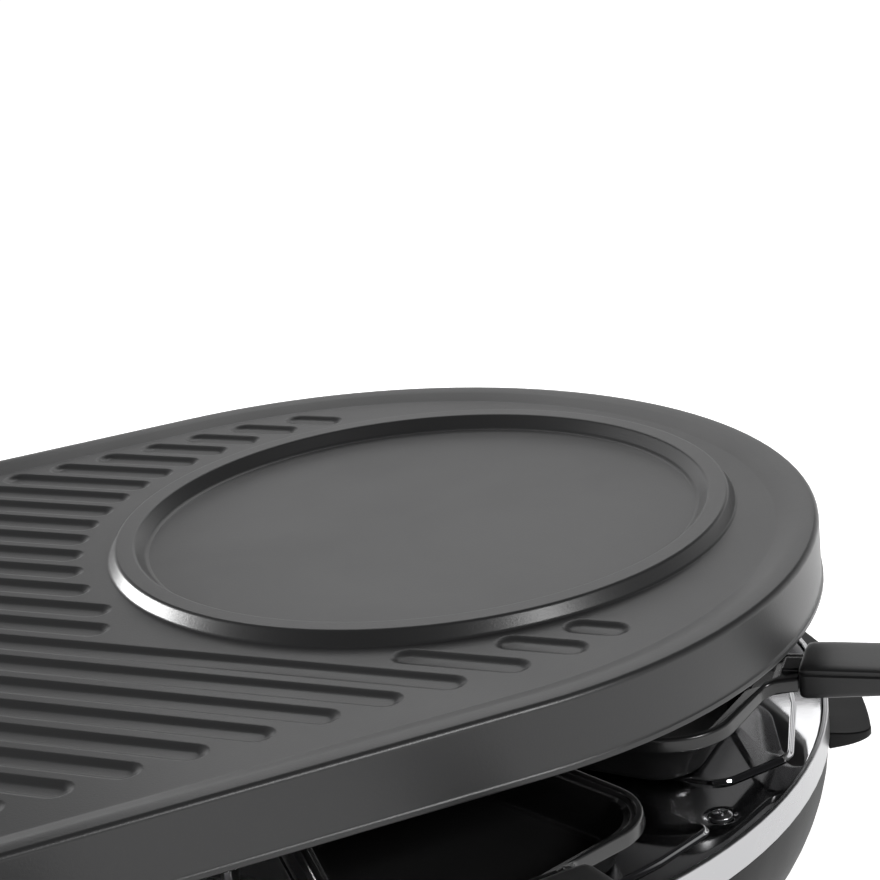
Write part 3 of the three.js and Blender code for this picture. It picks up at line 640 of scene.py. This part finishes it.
cutter = new_mesh("groove_cutter")
trough = metres(GROOVE_PROFILE + [(GROOVE_HALF, CUTTER_TOP), (0, CUTTER_TOP)], PLATE_TOP)
sweep_oval(trough, Vector(), SLANT * TROUGH, 8)
tidy()
deselect()
copies = []
for start, end in groove_lines():
    mesh = cutter.data.copy()
    pull = SLANT * ((end - start).length - TROUGH)
    for vertex in mesh.vertices:
        vertex.co += start + (pull if vertex.co.dot(SLANT) > TROUGH / 2 else Vector())
    groove = bpy.data.objects.new("groove", mesh)
    bpy.context.scene.collection.objects.link(groove)
    copies.append(groove)
bpy.data.objects.remove(cutter)
deselect()
for groove in copies:
    groove.select_set(True)
bpy.context.view_layer.objects.active = copies[0]
bpy.ops.object.join()
combine(plate, copies[0])
hand_in(plate, "plate", "coated_plate", "grill_plate", 40)
print("grooves:", len(copies))

# %% [markdown]
# A band of satin steel closes the gap between the tray and the base. It is a thin upright strip
# with a narrow lip turned in over the tray's edge, swept round its oval in one go.

# %% The trim band
band_low, band_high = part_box("trim_ring")
BASE_HALF = band_high.x - band_high.y
BAND_R = band_high.y / MM
LEFT = Vector((-BASE_HALF, 0, 0))
RIGHT = Vector((BASE_HALF, 0, 0))
BAND_INNER = 147.6
BAND_LOW = band_low.z / MM
BAND_TOP = band_high.z / MM
band_profile = rounded([
    (BAND_INNER, BAND_LOW, 0),
    (BAND_R, BAND_LOW, 0.3),
    (BAND_R, BAND_TOP, 0.7),
    (BAND_INNER, BAND_TOP - 0.2, 0.15),
    (BAND_INNER, BAND_LOW, 0),
])
band = new_mesh("trim_band")
sweep_oval(metres(band_profile), LEFT, RIGHT, HALF_TURN_STEPS)
tidy()
hand_in(band, "base", "satin_steel", "trim_ring", 40)

# %% [markdown]
# The tray is pressed from one mirror-polished sheet. Under each pan it stands up in a low platform
# with soft shoulders. The sheet is swept and filled, then every platform is an outline that is
# filled and inset step by step, each step a little higher, and joined on.

# %% The reflector tray
tray_low, tray_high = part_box("reflector_tray")
PLATFORM_H = 1.4
TRAY_TOP = tray_high.z / MM - PLATFORM_H
TRAY_R = tray_high.y / MM
TRAY_THICK = 1
TRAY_EDGE = 3  # width of the strip that is swept, outside the flat sheet
PLATFORM_R = 140.2
PLATFORM_SUNK = 0.5
PLATFORM_FOOT = 0.46  # height of a platform's upright foot, most of it inside the sheet
SHOULDER = [(0.25, 0.07), (0.2, 0.13), (0.2, 0.25), (0.25, 0.42), (0.2, 0.28), (0.2, 0.15), (0.25, 0.08),
            (0.3, 0.02)]  # how far each inset step goes in and up


def arc_point(degrees):
    """A corner on the curve that the platforms' outer edges follow round the end."""
    a = math.radians(degrees)
    return (BASE_HALF / MM + PLATFORM_R * math.cos(a), PLATFORM_R * math.sin(a), 0)


MIDDLE_PLATFORM = [(10, -PLATFORM_R, 7), (BASE_HALF / MM, -PLATFORM_R, 0)]
MIDDLE_PLATFORM += [arc_point(degrees) for degrees in (-87, -84, -81, -78, -75, -72)]
MIDDLE_PLATFORM += [(120.5, -124.9, 5), (97, -60, 13), (18, -56, 13)]
END_PLATFORM = [(94.5, -57, 12), (131, -10, 12), (185, -35, 14), (181, -66, 40), (158, -101.5, 8),
                (133, -105.5, 10)]

tray = new_mesh("mirror_tray")
sheet_profile = [(TRAY_R - TRAY_EDGE, TRAY_TOP), (TRAY_R - 0.5, TRAY_TOP), (TRAY_R - 0.15, TRAY_TOP - 0.15),
                 (TRAY_R, TRAY_TOP - 0.5), (TRAY_R, TRAY_TOP - TRAY_THICK),
                 (TRAY_R - TRAY_EDGE, TRAY_TOP - TRAY_THICK)]
sweep_oval(metres(sheet_profile), LEFT, RIGHT, HALF_TURN_STEPS)
tidy(outward=False)
for z in (TRAY_TOP, TRAY_TOP - TRAY_THICK):
    fill(level_inside(z * MM, BASE_HALF, TRAY_R - TRAY_EDGE + 0.1))
tidy()


def raise_platform(outline):
    """A platform in its own mesh: its foot is sunk in the sheet and its shoulders step up and in."""
    platform = new_mesh("platform")
    base_z = (TRAY_TOP - PLATFORM_SUNK) * MM
    draw([Vector((p.x * MM, p.y * MM, base_z)) for p in outline], closed=True)
    bpy.ops.mesh.select_all(action="SELECT")
    bpy.ops.mesh.edge_face_add()
    bpy.ops.mesh.extrude_region_move(TRANSFORM_OT_translate={"value": (0, 0, PLATFORM_FOOT * MM)})
    for inward, upward in SHOULDER:
        bpy.ops.mesh.inset(thickness=inward * MM, depth=0, use_even_offset=True)
        bpy.ops.transform.translate(value=(0, 0, upward * MM))
    tidy()
    deselect()
    return platform


for sx in (1, -1):
    for sy in (1, -1):
        for corners in (MIDDLE_PLATFORM, END_PLATFORM):
            placed = [(sx * x, sy * y, r) for x, y, r in corners]
            combine(tray, raise_platform(rounded(placed, closed=True)), "UNION")
print("with platforms:", len(tray.data.polygons))

# %% [markdown]
# Between the pans the sheet has six dimples, each for a screw. A press would push them down. Here
# each is a spun bowl that is cut away, with a lip so shallow that the sheet runs smoothly into it.

# %% The dimples
DIMPLES = [(sx * x, sy * y) for x, y in ((125.3, 118.4), (193.0, 0.0)) for sx in (1, -1) for sy in (1, -1)
           if y or sy > 0]
bowl = [(0, -1.0), (2.9, -1.0), (3.6, -0.85), (4.2, -0.5), (4.7, -0.18), (5.3, 0.0), (6.0, 0.03), (6.0, 0.6),
        (0, 0.6)]
for x, y in DIMPLES:
    dimple = new_mesh("dimple")
    centre = Vector((x, y, 0)) * MM
    sweep_oval([(r * MM, (TRAY_TOP + z) * MM) for r, z in bowl], centre, centre, 14)
    tidy()
    combine(tray, dimple)
hand_in(tray, "base", "polished_steel", "reflector_tray", 40)

# %% [markdown]
# The base is a thin moulded shell. Its side bulges out under the band and curls in to a flat floor,
# and a formula for a squarish ellipse gives that curve with few numbers. Two pads are joined to it,
# one in front for the thermostat and one behind for the cord's entry.

# %% The base
base_low, base_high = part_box("base_housing")
BASE_LOW = base_low.z / MM
BASE_WIDE = 148.6  # radius just under the band
BASE_CURL = 29.1  # how far the side curls in on its way down
BASE_SHOULDER = 50.3
BASE_SQUARENESS = 1.8
BASE_TOP = base_high.z / MM
FLOOR_R = 118.6  # radius where the side's curve meets the flat floor
FLOOR_THICK = 2.6
MOUTH = (144.4, 147.0)  # inner and outer radius of the wall's level top
PAD_FACE = 150.2
PAD_ROOT = 138
PAD_SOFT = 1.6


def base_side(u):
    """A point of the side's curve, from the shoulder at u = 0 to the floor at u = 1."""
    inward = 1 - (1 - u ** BASE_SQUARENESS) ** (1 / BASE_SQUARENESS)
    return (BASE_WIDE - BASE_CURL * inward, BASE_SHOULDER - (BASE_SHOULDER - BASE_LOW) * u)


def box_piece(name, low, high, soften, segments=3):
    """A block between two corners in millimetres, with all its edges softened."""
    piece = new_mesh(name)
    low, high = Vector(low) * MM, Vector(high) * MM
    bpy.ops.mesh.primitive_cube_add(size=1, location=(low + high) / 2)
    bpy.ops.transform.resize(value=high - low, center_override=(low + high) / 2)
    if soften:
        bpy.ops.mesh.bevel(offset=soften * MM, segments=segments, affect="EDGES")
    tidy()
    deselect()
    return piece


def turned(name, profile, steps=32, origin=(0, 0, 0), facing=None):
    """A turned piece. Its axis is Z, or -Y or +Y where facing says front or back."""
    piece = new_mesh(name)
    sweep_oval(metres(profile), Vector(), Vector(), steps // 2)
    tidy()
    deselect()
    lean = {None: 0, "front": math.pi / 2, "back": -math.pi / 2}[facing]
    piece.data.transform(Matrix.Translation(Vector(origin) * MM) @ Matrix.Rotation(lean, 4, "X"))
    return piece


side = [base_side(1 - (1 - k / 20) ** 1.6) for k in range(21)]
inner_side = [(FLOOR_R - 1, BASE_LOW + FLOOR_THICK), (124.5, 14.6), (130.0, 18.0), (136.0, 24.0),
              (140.0, 30.0), (143.0, 37.0), (MOUTH[0], 44.0), (MOUTH[0], BASE_TOP)]
outer_side = [(MOUTH[1], BASE_TOP), (147.3, BASE_TOP - 0.3), (147.3, 50.6)] + side + [(FLOOR_R, BASE_LOW)]
base = new_mesh("base_shell")
for profile in (outer_side, inner_side, [(radius, BASE_TOP) for radius in MOUTH]):
    sweep_oval(metres(profile), LEFT, RIGHT, HALF_TURN_STEPS)
tidy(outward=False)
for radius, z in ((FLOOR_R, BASE_LOW), (FLOOR_R - 1, BASE_LOW + FLOOR_THICK)):
    fill(level_inside(z * MM, BASE_HALF, radius + 0.01))
tidy()
deselect()
for low, high in (((-38, -PAD_FACE, 15.5), (38, -PAD_ROOT, BASE_SHOULDER)),
                  ((-17, PAD_ROOT, 22.5), (17, PAD_FACE, 45.5))):
    combine(base, box_piece("pad", low, high, PAD_SOFT), "UNION")
print("base with its pads:", len(base.data.polygons))

# %% [markdown]
# The shaft, the pilot lamp and the cord each need a round hole through a pad, and the floor has two
# rows of slots for air. In a mould these are pins and ribs. Here they are cut.

# %% The base's openings
KNOB_Z = 33.0
LAMP_X = 26.0
ENTRY_Z = 34.0
PAD_MIDDLE = 146
DRILL_HALF = 12
VENT_MIDDLE = 46  # the middle of each row of slots
VENT_PITCH = 9.0
VENT_WIDE = 4.0
VENT_LONG = 52.0
for radius, place, facing in ((3.6, (0, -PAD_MIDDLE, KNOB_Z), "front"),
                              (3.8, (LAMP_X, -PAD_MIDDLE, KNOB_Z), "front"),
                              (6.3, (0, PAD_MIDDLE, ENTRY_Z), "back")):
    bit = [(0, -DRILL_HALF), (radius, -DRILL_HALF), (radius, DRILL_HALF), (0, DRILL_HALF)]
    combine(base, turned("drill", bit, 24, place, facing))
for sx in (-1, 1):
    for k in range(-2, 3):
        x = sx * VENT_MIDDLE + k * VENT_PITCH
        low, high = (x - VENT_WIDE / 2, -VENT_LONG / 2, 5), (x + VENT_WIDE / 2, VENT_LONG / 2, 16)
        combine(base, box_piece("slot", low, high, 1))
hand_in(base, "base", "dark_plastic", "base_housing", 35)

# %% [markdown]
# A ledge stands out under the band at each end, to carry the grill by. It follows the base's round
# end, so it is a short spin of a wedge-shaped section. Its upright corners are rounded far and its
# other edges a little, both by bevels. One ledge is made, and the other is a copy turned half round.

# %% The carry ledges
LEDGE_SPREAD = math.radians(63)
ledge_low, ledge_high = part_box("carry_ledge_right")
LEDGE_R = (ledge_high.x - BASE_HALF) / MM
LEDGE_ROOT = 148.5
LEDGE_TOP = ledge_high.z / MM
LEDGE_LOW = ledge_low.z / MM
LEDGE_CORNER = 8.5
LEDGE_SOFT = 0.7


def on_rim(co):
    """True for points on the ledge's outer face."""
    return math.hypot(co.x - BASE_HALF, co.y) > (LEDGE_R - 0.01) * MM


def make_ledge():
    """The ledge at the right end: a section that is spun round the end's centre, with soft edges."""
    ledge = new_mesh("carry_ledge_east")
    section = [(LEDGE_ROOT, LEDGE_TOP), (LEDGE_R, LEDGE_TOP - 0.6), (LEDGE_R, LEDGE_TOP - 2.9),
               (LEDGE_ROOT, LEDGE_LOW)]
    turn = Matrix.Rotation(-LEDGE_SPREAD / 2, 4, "Z")
    draw([RIGHT + turn @ Vector((r * MM, 0, 0)) + Vector((0, 0, z * MM)) for r, z in section], closed=True)
    bpy.ops.mesh.select_all(action="SELECT")
    bpy.ops.mesh.edge_face_add()
    bpy.ops.mesh.spin(steps=36, angle=-LEDGE_SPREAD, center=RIGHT, axis=(0, 0, 1))
    tidy()
    half_chord = math.sin(LEDGE_SPREAD / 2) * LEDGE_R * MM
    select(lambda co: on_rim(co) and abs(co.y) > half_chord - 1e-5)
    bpy.ops.mesh.bevel(offset=LEDGE_CORNER * MM, segments=8, affect="EDGES")
    bpy.ops.mesh.select_all(action="SELECT")
    bpy.ops.mesh.normals_make_consistent(inside=False)
    deselect()
    apply(ledge, "BEVEL", width=LEDGE_SOFT * MM, segments=3, limit_method="ANGLE",
          angle_limit=math.radians(35))
    smooth(ledge, 35)
    return ledge


ledge = make_ledge()
west = copied(ledge, "carry_ledge_west", Matrix.Rotation(math.pi, 4, "Z"))
hand_in(ledge, "base", "dark_plastic", "carry_ledge_right")
hand_in(west, "base", "dark_plastic", "carry_ledge_left")

# %% [markdown]
# The pans and their handles aren't round, so they aren't spun. Their shape is given by a stack of
# outlines with the same number of points each. One helper puts every outline down as a circle,
# moves its points into place, bridges neighbours and fills the two ends.

# %% Skinning a stack of outlines
def skin(name, loops):
    """Bridges closed outlines that have the same number of points, and fills the first and the last."""
    piece = new_mesh(name)
    count = len(loops[0])
    for loop in loops:
        bpy.ops.mesh.select_all(action="DESELECT")
        bpy.ops.mesh.primitive_circle_add(vertices=count, radius=NEW_SIZE)
        mesh = bmesh.from_edit_mesh(piece.data)
        for vertex, place in zip([v for v in mesh.verts if v.select], loop):
            vertex.co = Vector(place) * MM
        bmesh.update_edit_mesh(piece.data)
    for k in range(len(loops) - 1):
        select_points(lambda vertex: k * count <= vertex.index < (k + 2) * count)
        bpy.ops.mesh.bridge_edge_loops()
    for first in (0, (len(loops) - 1) * count):
        select_points(lambda vertex: first <= vertex.index < first + count)
        bpy.ops.mesh.edge_face_add()
    tidy()
    deselect()
    return piece


print("helper:", skin.__name__)

# %% [markdown]
# A pan is a deep-drawn dish with a flat rim, an upright band round the rim and a neck that climbs to
# its handle. Its outline is straight-sided and widest near the handle. Each outline of the stack is
# the same shape grown or shrunk at its own height, so the wall's lean, the rim and the step inside
# it are each one row of a short table.

# %% A pan
RIM = 15.9  # height of the pan's rim over its underside
PAN_BACK = -56.0
PAN_FRONT = 15.6
HANDLE_START = 36.0
NECK_END = HANDLE_START - 0.3
NECK_RISE = 2.8
NECK_FROM = 20.0
NECK_CORNER = 27.0
TONGUE_HALF = 4.2
TONGUE_LONG = 13


def pan_outline(grow, end):
    """The pan's outline from above, grown outward, with its neck ending at the distance end."""
    corner = min(NECK_CORNER, end - 1.5)
    half = [
        (PAN_BACK - grow, 30.9 + grow, 15 + grow, 8),
        (PAN_FRONT + grow, 45.9 + grow, 18 + grow, 11),
        (corner, 9.4 + grow, 5 if end > NECK_CORNER + 5 else 1, 5),
        (end, 8 + grow, 0),
    ]
    return rounded(half + [(x, -y, *rest) for x, y, *rest in reversed(half)], closed=True)


def climb(x):
    """How much higher the rim is at this distance along the neck."""
    t = min(max((x - NECK_FROM) / (NECK_END - 2 - NECK_FROM), 0), 1)
    return NECK_RISE * t * t * (3 - 2 * t)


# Each row is how far the outline is grown, where its neck ends, its height, and if it climbs.
PAN_ROWS = [
    (-7.4, 14.6, 0.0, 0), (-6.4, 15.6, 0.25, 0), (-5.7, 16.4, 1.0, 0), (-5.3, 17.0, 2.0, 0),
    (-2.3, 22.5, RIM - 5.6, 0), (-1.7, 23.7, RIM - 4.6, 1), (-0.9, 26.0, RIM - 4.2, 1),
    (0.2, NECK_END, RIM - 4.1, 1), (0.75, NECK_END, RIM - 3.9, 1), (0.9, NECK_END, RIM - 3.5, 1),
    (0.5, NECK_END, RIM - 0.9, 1), (0.3, NECK_END, RIM - 0.35, 1), (-0.1, NECK_END, RIM - 0.05, 1),
    (-0.6, NECK_END, RIM, 1), (-1.5, 30.5, RIM, 1), (-1.8, 30.0, RIM - 0.25, 1),
    (-2.0, 29.6, RIM - 0.75, 1), (-3.0, 28.2, RIM - 0.95, 1), (-3.4, 27.6, RIM - 1.4, 1),
    (-3.7, 27.0, RIM - 2.4, 1), (-3.75, 22.0, RIM - 2.9, 1), (-6.4, 16.2, 3.2, 0), (-6.8, 15.4, 2.1, 0),
    (-7.5, 14.6, 1.45, 0), (-8.6, 13.4, 1.2, 0),
]
loops = [[(p.x, p.y, z + climbs * climb(p.x)) for p in pan_outline(grow, end)]
         for grow, end, z, climbs in PAN_ROWS]
pan = skin("pan", loops)
tongue = box_piece("tongue", (30.5, -TONGUE_HALF, RIM + 0.4),
                   (HANDLE_START + TONGUE_LONG, TONGUE_HALF, RIM + NECK_RISE + 0.8), 0.7)
combine(pan, tongue, "UNION")
smooth(pan, 38)
print("pan faces:", len(pan.data.polygons))

# %% [markdown]
# The handle is a plastic moulding pushed onto the pan's tongue. Its section has a slightly crowned
# top, a fine groove under the top's edge and upright sides, and it tapers in at both ends. It is
# skinned like the pan, over sections that stand upright along its length.

# %% A handle
HANDLE_TOP = 22.5
HANDLE_LOW = 12.5
HANDLE_HALF = 10.0
HANDLE_LONG = 80.0
SLOT_HALF = 4.7


def handle_section(x, pinch, drop, rise):
    """One upright section at x: pinch narrows it, drop lowers its top and rise lifts its underside."""
    half, top, low = HANDLE_HALF - pinch, HANDLE_TOP - drop, HANDLE_LOW + rise
    side = [(half * 0.35, top), (half - 3.0, top - 0.12), (half - 1.0, top - 0.4), (half - 0.25, top - 0.9),
            (half - 0.2, top - 1.5), (half - 0.9, top - 1.75), (half - 0.9, top - 2.35),
            (half - 0.1, top - 2.7), (half, low + 2.2), (half - 0.35, low + 0.9), (half - 1.1, low + 0.25),
            (half - 2.4, low), (half * 0.35, low - 0.05)]
    return [(x, y, z) for y, z in side] + [(x, -y, z) for y, z in reversed(side)]


# Each row is a distance along the handle, and the pinch, drop and rise of the section there.
HANDLE_ROWS = [
    (0.0, 1.9, 1.3, 0.8), (0.25, 1.1, 0.7, 0.35), (0.9, 0.55, 0.25, 0.1), (2.2, 0.2, 0.05, 0.05),
    (8.0, 0.0, 0.0, 0.5), (28.0, -0.1, 0.0, 2.0), (48.0, -0.6, 0.0, 2.6), (64.0, -1.3, 0.1, 2.8),
    (70.0, -1.4, 0.2, 2.8), (74.0, -0.9, 0.4, 2.9), (77.0, 0.5, 0.8, 3.3), (79.0, 2.4, 1.4, 3.8),
    (79.8, 4.0, 2.2, 4.4), (HANDLE_LONG, 5.2, 3.0, 5.0),
]
handle = skin("handle", [handle_section(HANDLE_START + x, *rest) for x, *rest in HANDLE_ROWS])
slot = box_piece("slot", (HANDLE_START - 2, -SLOT_HALF, RIM + 0.1),
                 (HANDLE_START + TONGUE_LONG + 0.3, SLOT_HALF, RIM + NECK_RISE + 1.2), 0)
combine(handle, slot)
smooth(handle, 38)
print("handle faces:", len(handle.data.polygons))

# %% [markdown]
# Four pans stand along the sides and four at the ends, each on its platform with its handle out. The
# places in one quarter are written down, and the other three quarters mirror them.

# %% Eight pans in their places
PAN_FLOOR_Z = 60.5
MIDDLE_PAN = (53.9, -124.8, -84.0)
END_PAN = (142.1, -66.0, -39.8)
number = 0
for sx, sy in ((1, -1), (1, 1), (-1, 1), (-1, -1)):
    for x, y, turn in (MIDDLE_PAN, END_PAN):
        number += 1
        heading = math.atan2(-sy * math.sin(math.radians(turn)), sx * math.cos(math.radians(turn)))
        place = Vector((sx * x, -sy * y, PAN_FLOOR_Z)) * MM
        placed = Matrix.Translation(place) @ Matrix.Rotation(heading, 4, "Z")
        for shape, node, look in ((pan, "pan_", "coated_pan"), (handle, "pan_handle_", "black_plastic")):
            copy = copied(shape, f"{node}copy_{number}", placed)
            hand_in(copy, f"pan_{number}_set", look, f"{node}{number}")
for shape in (pan, handle):
    bpy.data.objects.remove(shape)
print("pans placed:", number)

# %% [markdown]
# Six screws hold the tray down in its dimples. Each is a low turned head with a cross recess. One is
# made and copied, and each copy is turned a little differently, as screws are.

# %% The tray's screws
screw = turned("screw", rounded([(0, -9, 0), (1.5, -9, 0), (1.5, 0, 0), (3.2, 0, 0), (3.15, 0.95, 0.5),
                                 (2.0, 1.75, 1.0), (0, 1.8, 0)]), 28)
for wide, long in ((0.45, 2.1), (2.1, 0.45)):
    combine(screw, box_piece("recess", (-wide, -long, 0.8), (wide, long, 3), 0.12, 1))
smooth(screw, 35)
SCREW_SEAT = TRAY_TOP - 0.7
SCREW_TURN = (20, 31)  # how far a screw is turned, in degrees: a start, and a step per number
screw_nodes = []
for x, y in DIMPLES:
    for number in range(1, 7):
        low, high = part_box(f"tray_screw_{number}")
        if (Vector((x, y)) * MM - ((low + high) / 2).to_2d()).length < 1 * MM:
            screw_nodes.append((x, y, number))
for x, y, number in screw_nodes:
    turn = Matrix.Rotation(math.radians(SCREW_TURN[0] + SCREW_TURN[1] * number), 4, "Z")
    place = Matrix.Translation(Vector((x, y, SCREW_SEAT)) * MM)
    copy = copied(screw, f"screw_{number}", place @ turn)
    hand_in(copy, "base", "satin_steel", f"tray_screw_{number}")
bpy.data.objects.remove(screw)

# %% [markdown]
# The knob is a turned disc with a grip bar across its face and a pointer groove. The pilot lamp is a
# small domed lens beside it. The feet are turned rubber pads, and the entry for the cord is a turned
# bush at the back, which is bare because the picture shows no cord.

# %% The knob, the lamp, the feet and the entry
KNOB_FRONT = -150.6
knob_profile = rounded([(0, 0, 0), (14.6, 0, 0.3), (15.0, 5.2, 1.0), (13.4, 6.4, 1.0), (0, 6.4, 0)])
knob = turned("knob", knob_profile, 72)
grip = box_piece("grip", (-3.6, -13.1, 5.0), (3.6, 13.1, 15.0), 1.8, 5)
combine(knob, grip, "UNION")
combine(knob, box_piece("pointer", (-0.6, 4.5, 14.5), (0.6, 11.4, 16), 0.15))
combine(knob, turned("bore", [(0, -1), (3.2, -1), (3.2, 9), (0, 9)], 28))
front = Matrix.Translation(Vector((0, KNOB_FRONT, KNOB_Z)) * MM) @ Matrix.Rotation(math.pi / 2, 4, "X")
knob.data.transform(front)
hand_in(knob, "knob", "black_plastic", "thermostat_knob", 32)

lens_profile = rounded([(0, -8, 0), (3.4, -8, 0), (3.4, 0, 0), (5, 0, 0), (5, 1.2, 0.6), (2.6, 3.0, 2.5),
                        (0, 3.0, 0)])
lens = turned("lamp_lens", lens_profile, 40, (LAMP_X, KNOB_FRONT + 0.1, KNOB_Z), "front")
hand_in(lens, "base", "red_lens", "pilot_lamp_lens", 32)

foot_profile = rounded([(0, 0, 0), (10.2, 0, 1.0), (11, 9.3, 0.4), (4, 9.3, 0), (4, 12.6, 0), (4.9, 13.2, 0),
                        (3.2, 15.2, 0.6), (0, 15.2, 0)])
for number in range(1, 5):
    low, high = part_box(f"foot_{number}")
    middle = (low + high) / 2 / MM
    foot = turned(f"rubber_foot_{number}", foot_profile, 48, (middle.x, middle.y, 0))
    hand_in(foot, "base", "rubber", f"foot_{number}", 32)

entry_profile = rounded([(3.6, -10, 0), (6, -10, 0), (6, 0, 0), (9.4, 0, 0.3), (9.4, 1.8, 0.8),
                         (7.2, 2.8, 1.5), (6.2, 12, 0.9), (3.6, 12, 0.6), (3.6, -10, 0)])
entry = turned("cord_entry", entry_profile, 40, (0, PAD_FACE + 0.3, ENTRY_Z), "back")
hand_in(entry, "base", "black_plastic", "cable_gland", 32)

# %% [markdown]
# Under the plate lies the heating element, one long tube that leaves the terminal box, runs round
# the oval and comes back. It is drawn as a line of points, made a curve, given a round section
# and made a mesh again, which is how such a tube is bent too: along its middle line.

# %% The heating element
HEATER_Z = 99.5
HEATER_TUBE = 3.3
HEATER_HALF = 52.0
HEATER_R = 78.0
HEATER_BEND = 14.0
LEAD_X = 9.0
LEAD_START = -17
LEAD_STEP = 6
LEAD_STEPS = 8
BEND_STEPS = 8
END_STEPS = 40


def heater_path():
    """The element's middle line, from one lead round both ends to the other lead."""
    lead = [(-LEAD_X, LEAD_START - LEAD_STEP * k) for k in range(LEAD_STEPS)]
    for k in range(BEND_STEPS + 1):
        a = math.pi / 2 * k / BEND_STEPS
        lead.append((-LEAD_X - HEATER_BEND * (1 - math.cos(a)), -HEATER_R + HEATER_BEND * (1 - math.sin(a))))
    ends = []
    for centre, start in ((-HEATER_HALF, -90), (HEATER_HALF, 90)):
        for k in range(END_STEPS + 1):
            a = math.radians(start - 180 / END_STEPS * k)
            ends.append((centre + HEATER_R * math.cos(a), HEATER_R * math.sin(a)))
    return lead + ends + [(-x, y) for x, y in reversed(lead)]


element = new_mesh("heater_tube")
draw([Vector((x, y, HEATER_Z)) * MM for x, y in heater_path()])
only(element)
bpy.ops.object.convert(target="CURVE")
element = bpy.context.object
element.data.bevel_depth = HEATER_TUBE * MM
element.data.bevel_resolution = 5
element.data.use_fill_caps = True
bpy.ops.object.convert(target="MESH")
element = bpy.context.object
hand_in(element, "base", "heater_steel", "heating_element", 50)

# %% [markdown]
# The terminal box is a folded steel cover that hides where the element's ends are wired. It is a
# softened block, hollowed from below, with a hole for each end and four cooling slots on each side.

# %% The terminal box
COVER_THICK = 1.4
HOLE_R = 3.7
HOLE_PLACE = -26.5  # in the box's front wall, where both leads come out
SLOT_PITCH = 10
SLOT_FACE = 33  # how far to each side the slots are cut
SLOT_LEVELS = (70, 92)
box_low, box_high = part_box("terminal_box")
cover = box_piece("terminal_cover", box_low / MM, box_high / MM, 3.0, 5)
low = box_low / MM + Vector((COVER_THICK, COVER_THICK, -3))  # the hollow is open below
high = box_high / MM - Vector((COVER_THICK, COVER_THICK, COVER_THICK))
combine(cover, box_piece("hollow", low, high, 1))
for x in (-LEAD_X, LEAD_X):
    bit = [(0, -6), (HOLE_R, -6), (HOLE_R, 6), (0, 6)]
    hole = turned("hole", bit, 28, (x, HOLE_PLACE, HEATER_Z), "front")
    combine(cover, hole)
for sx in (-1, 1):
    for k in range(4):
        x, y = sx * SLOT_FACE, SLOT_PITCH * (k - 1.5)
        low, high = (x - 3, y - 2, SLOT_LEVELS[0]), (x + 3, y + 2, SLOT_LEVELS[1])
        combine(cover, box_piece("slot", low, high, 0.9))
hand_in(cover, "base", "satin_steel", "terminal_box", 35)

# %% [markdown]
# The four brackets that carry the plate, the thermostat's body and its shaft are right as they are
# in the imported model. They keep their shape and get a finish.

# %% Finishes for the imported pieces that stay
kept = {"thermostat_body": "ceramic", "thermostat_shaft": "satin_steel"}
kept.update({f"plate_support_{end}": "satin_steel" for end in ("front", "rear", "right", "left")})
for node, finish_name in kept.items():
    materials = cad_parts[node].data.materials
    materials.clear()
    materials.append(FINISHES[finish_name])
print("kept as packed:", sorted(kept))

# %% [markdown]
# The scene's outer box should stay that of the imported model.

# %% Sizes
print("scene built")
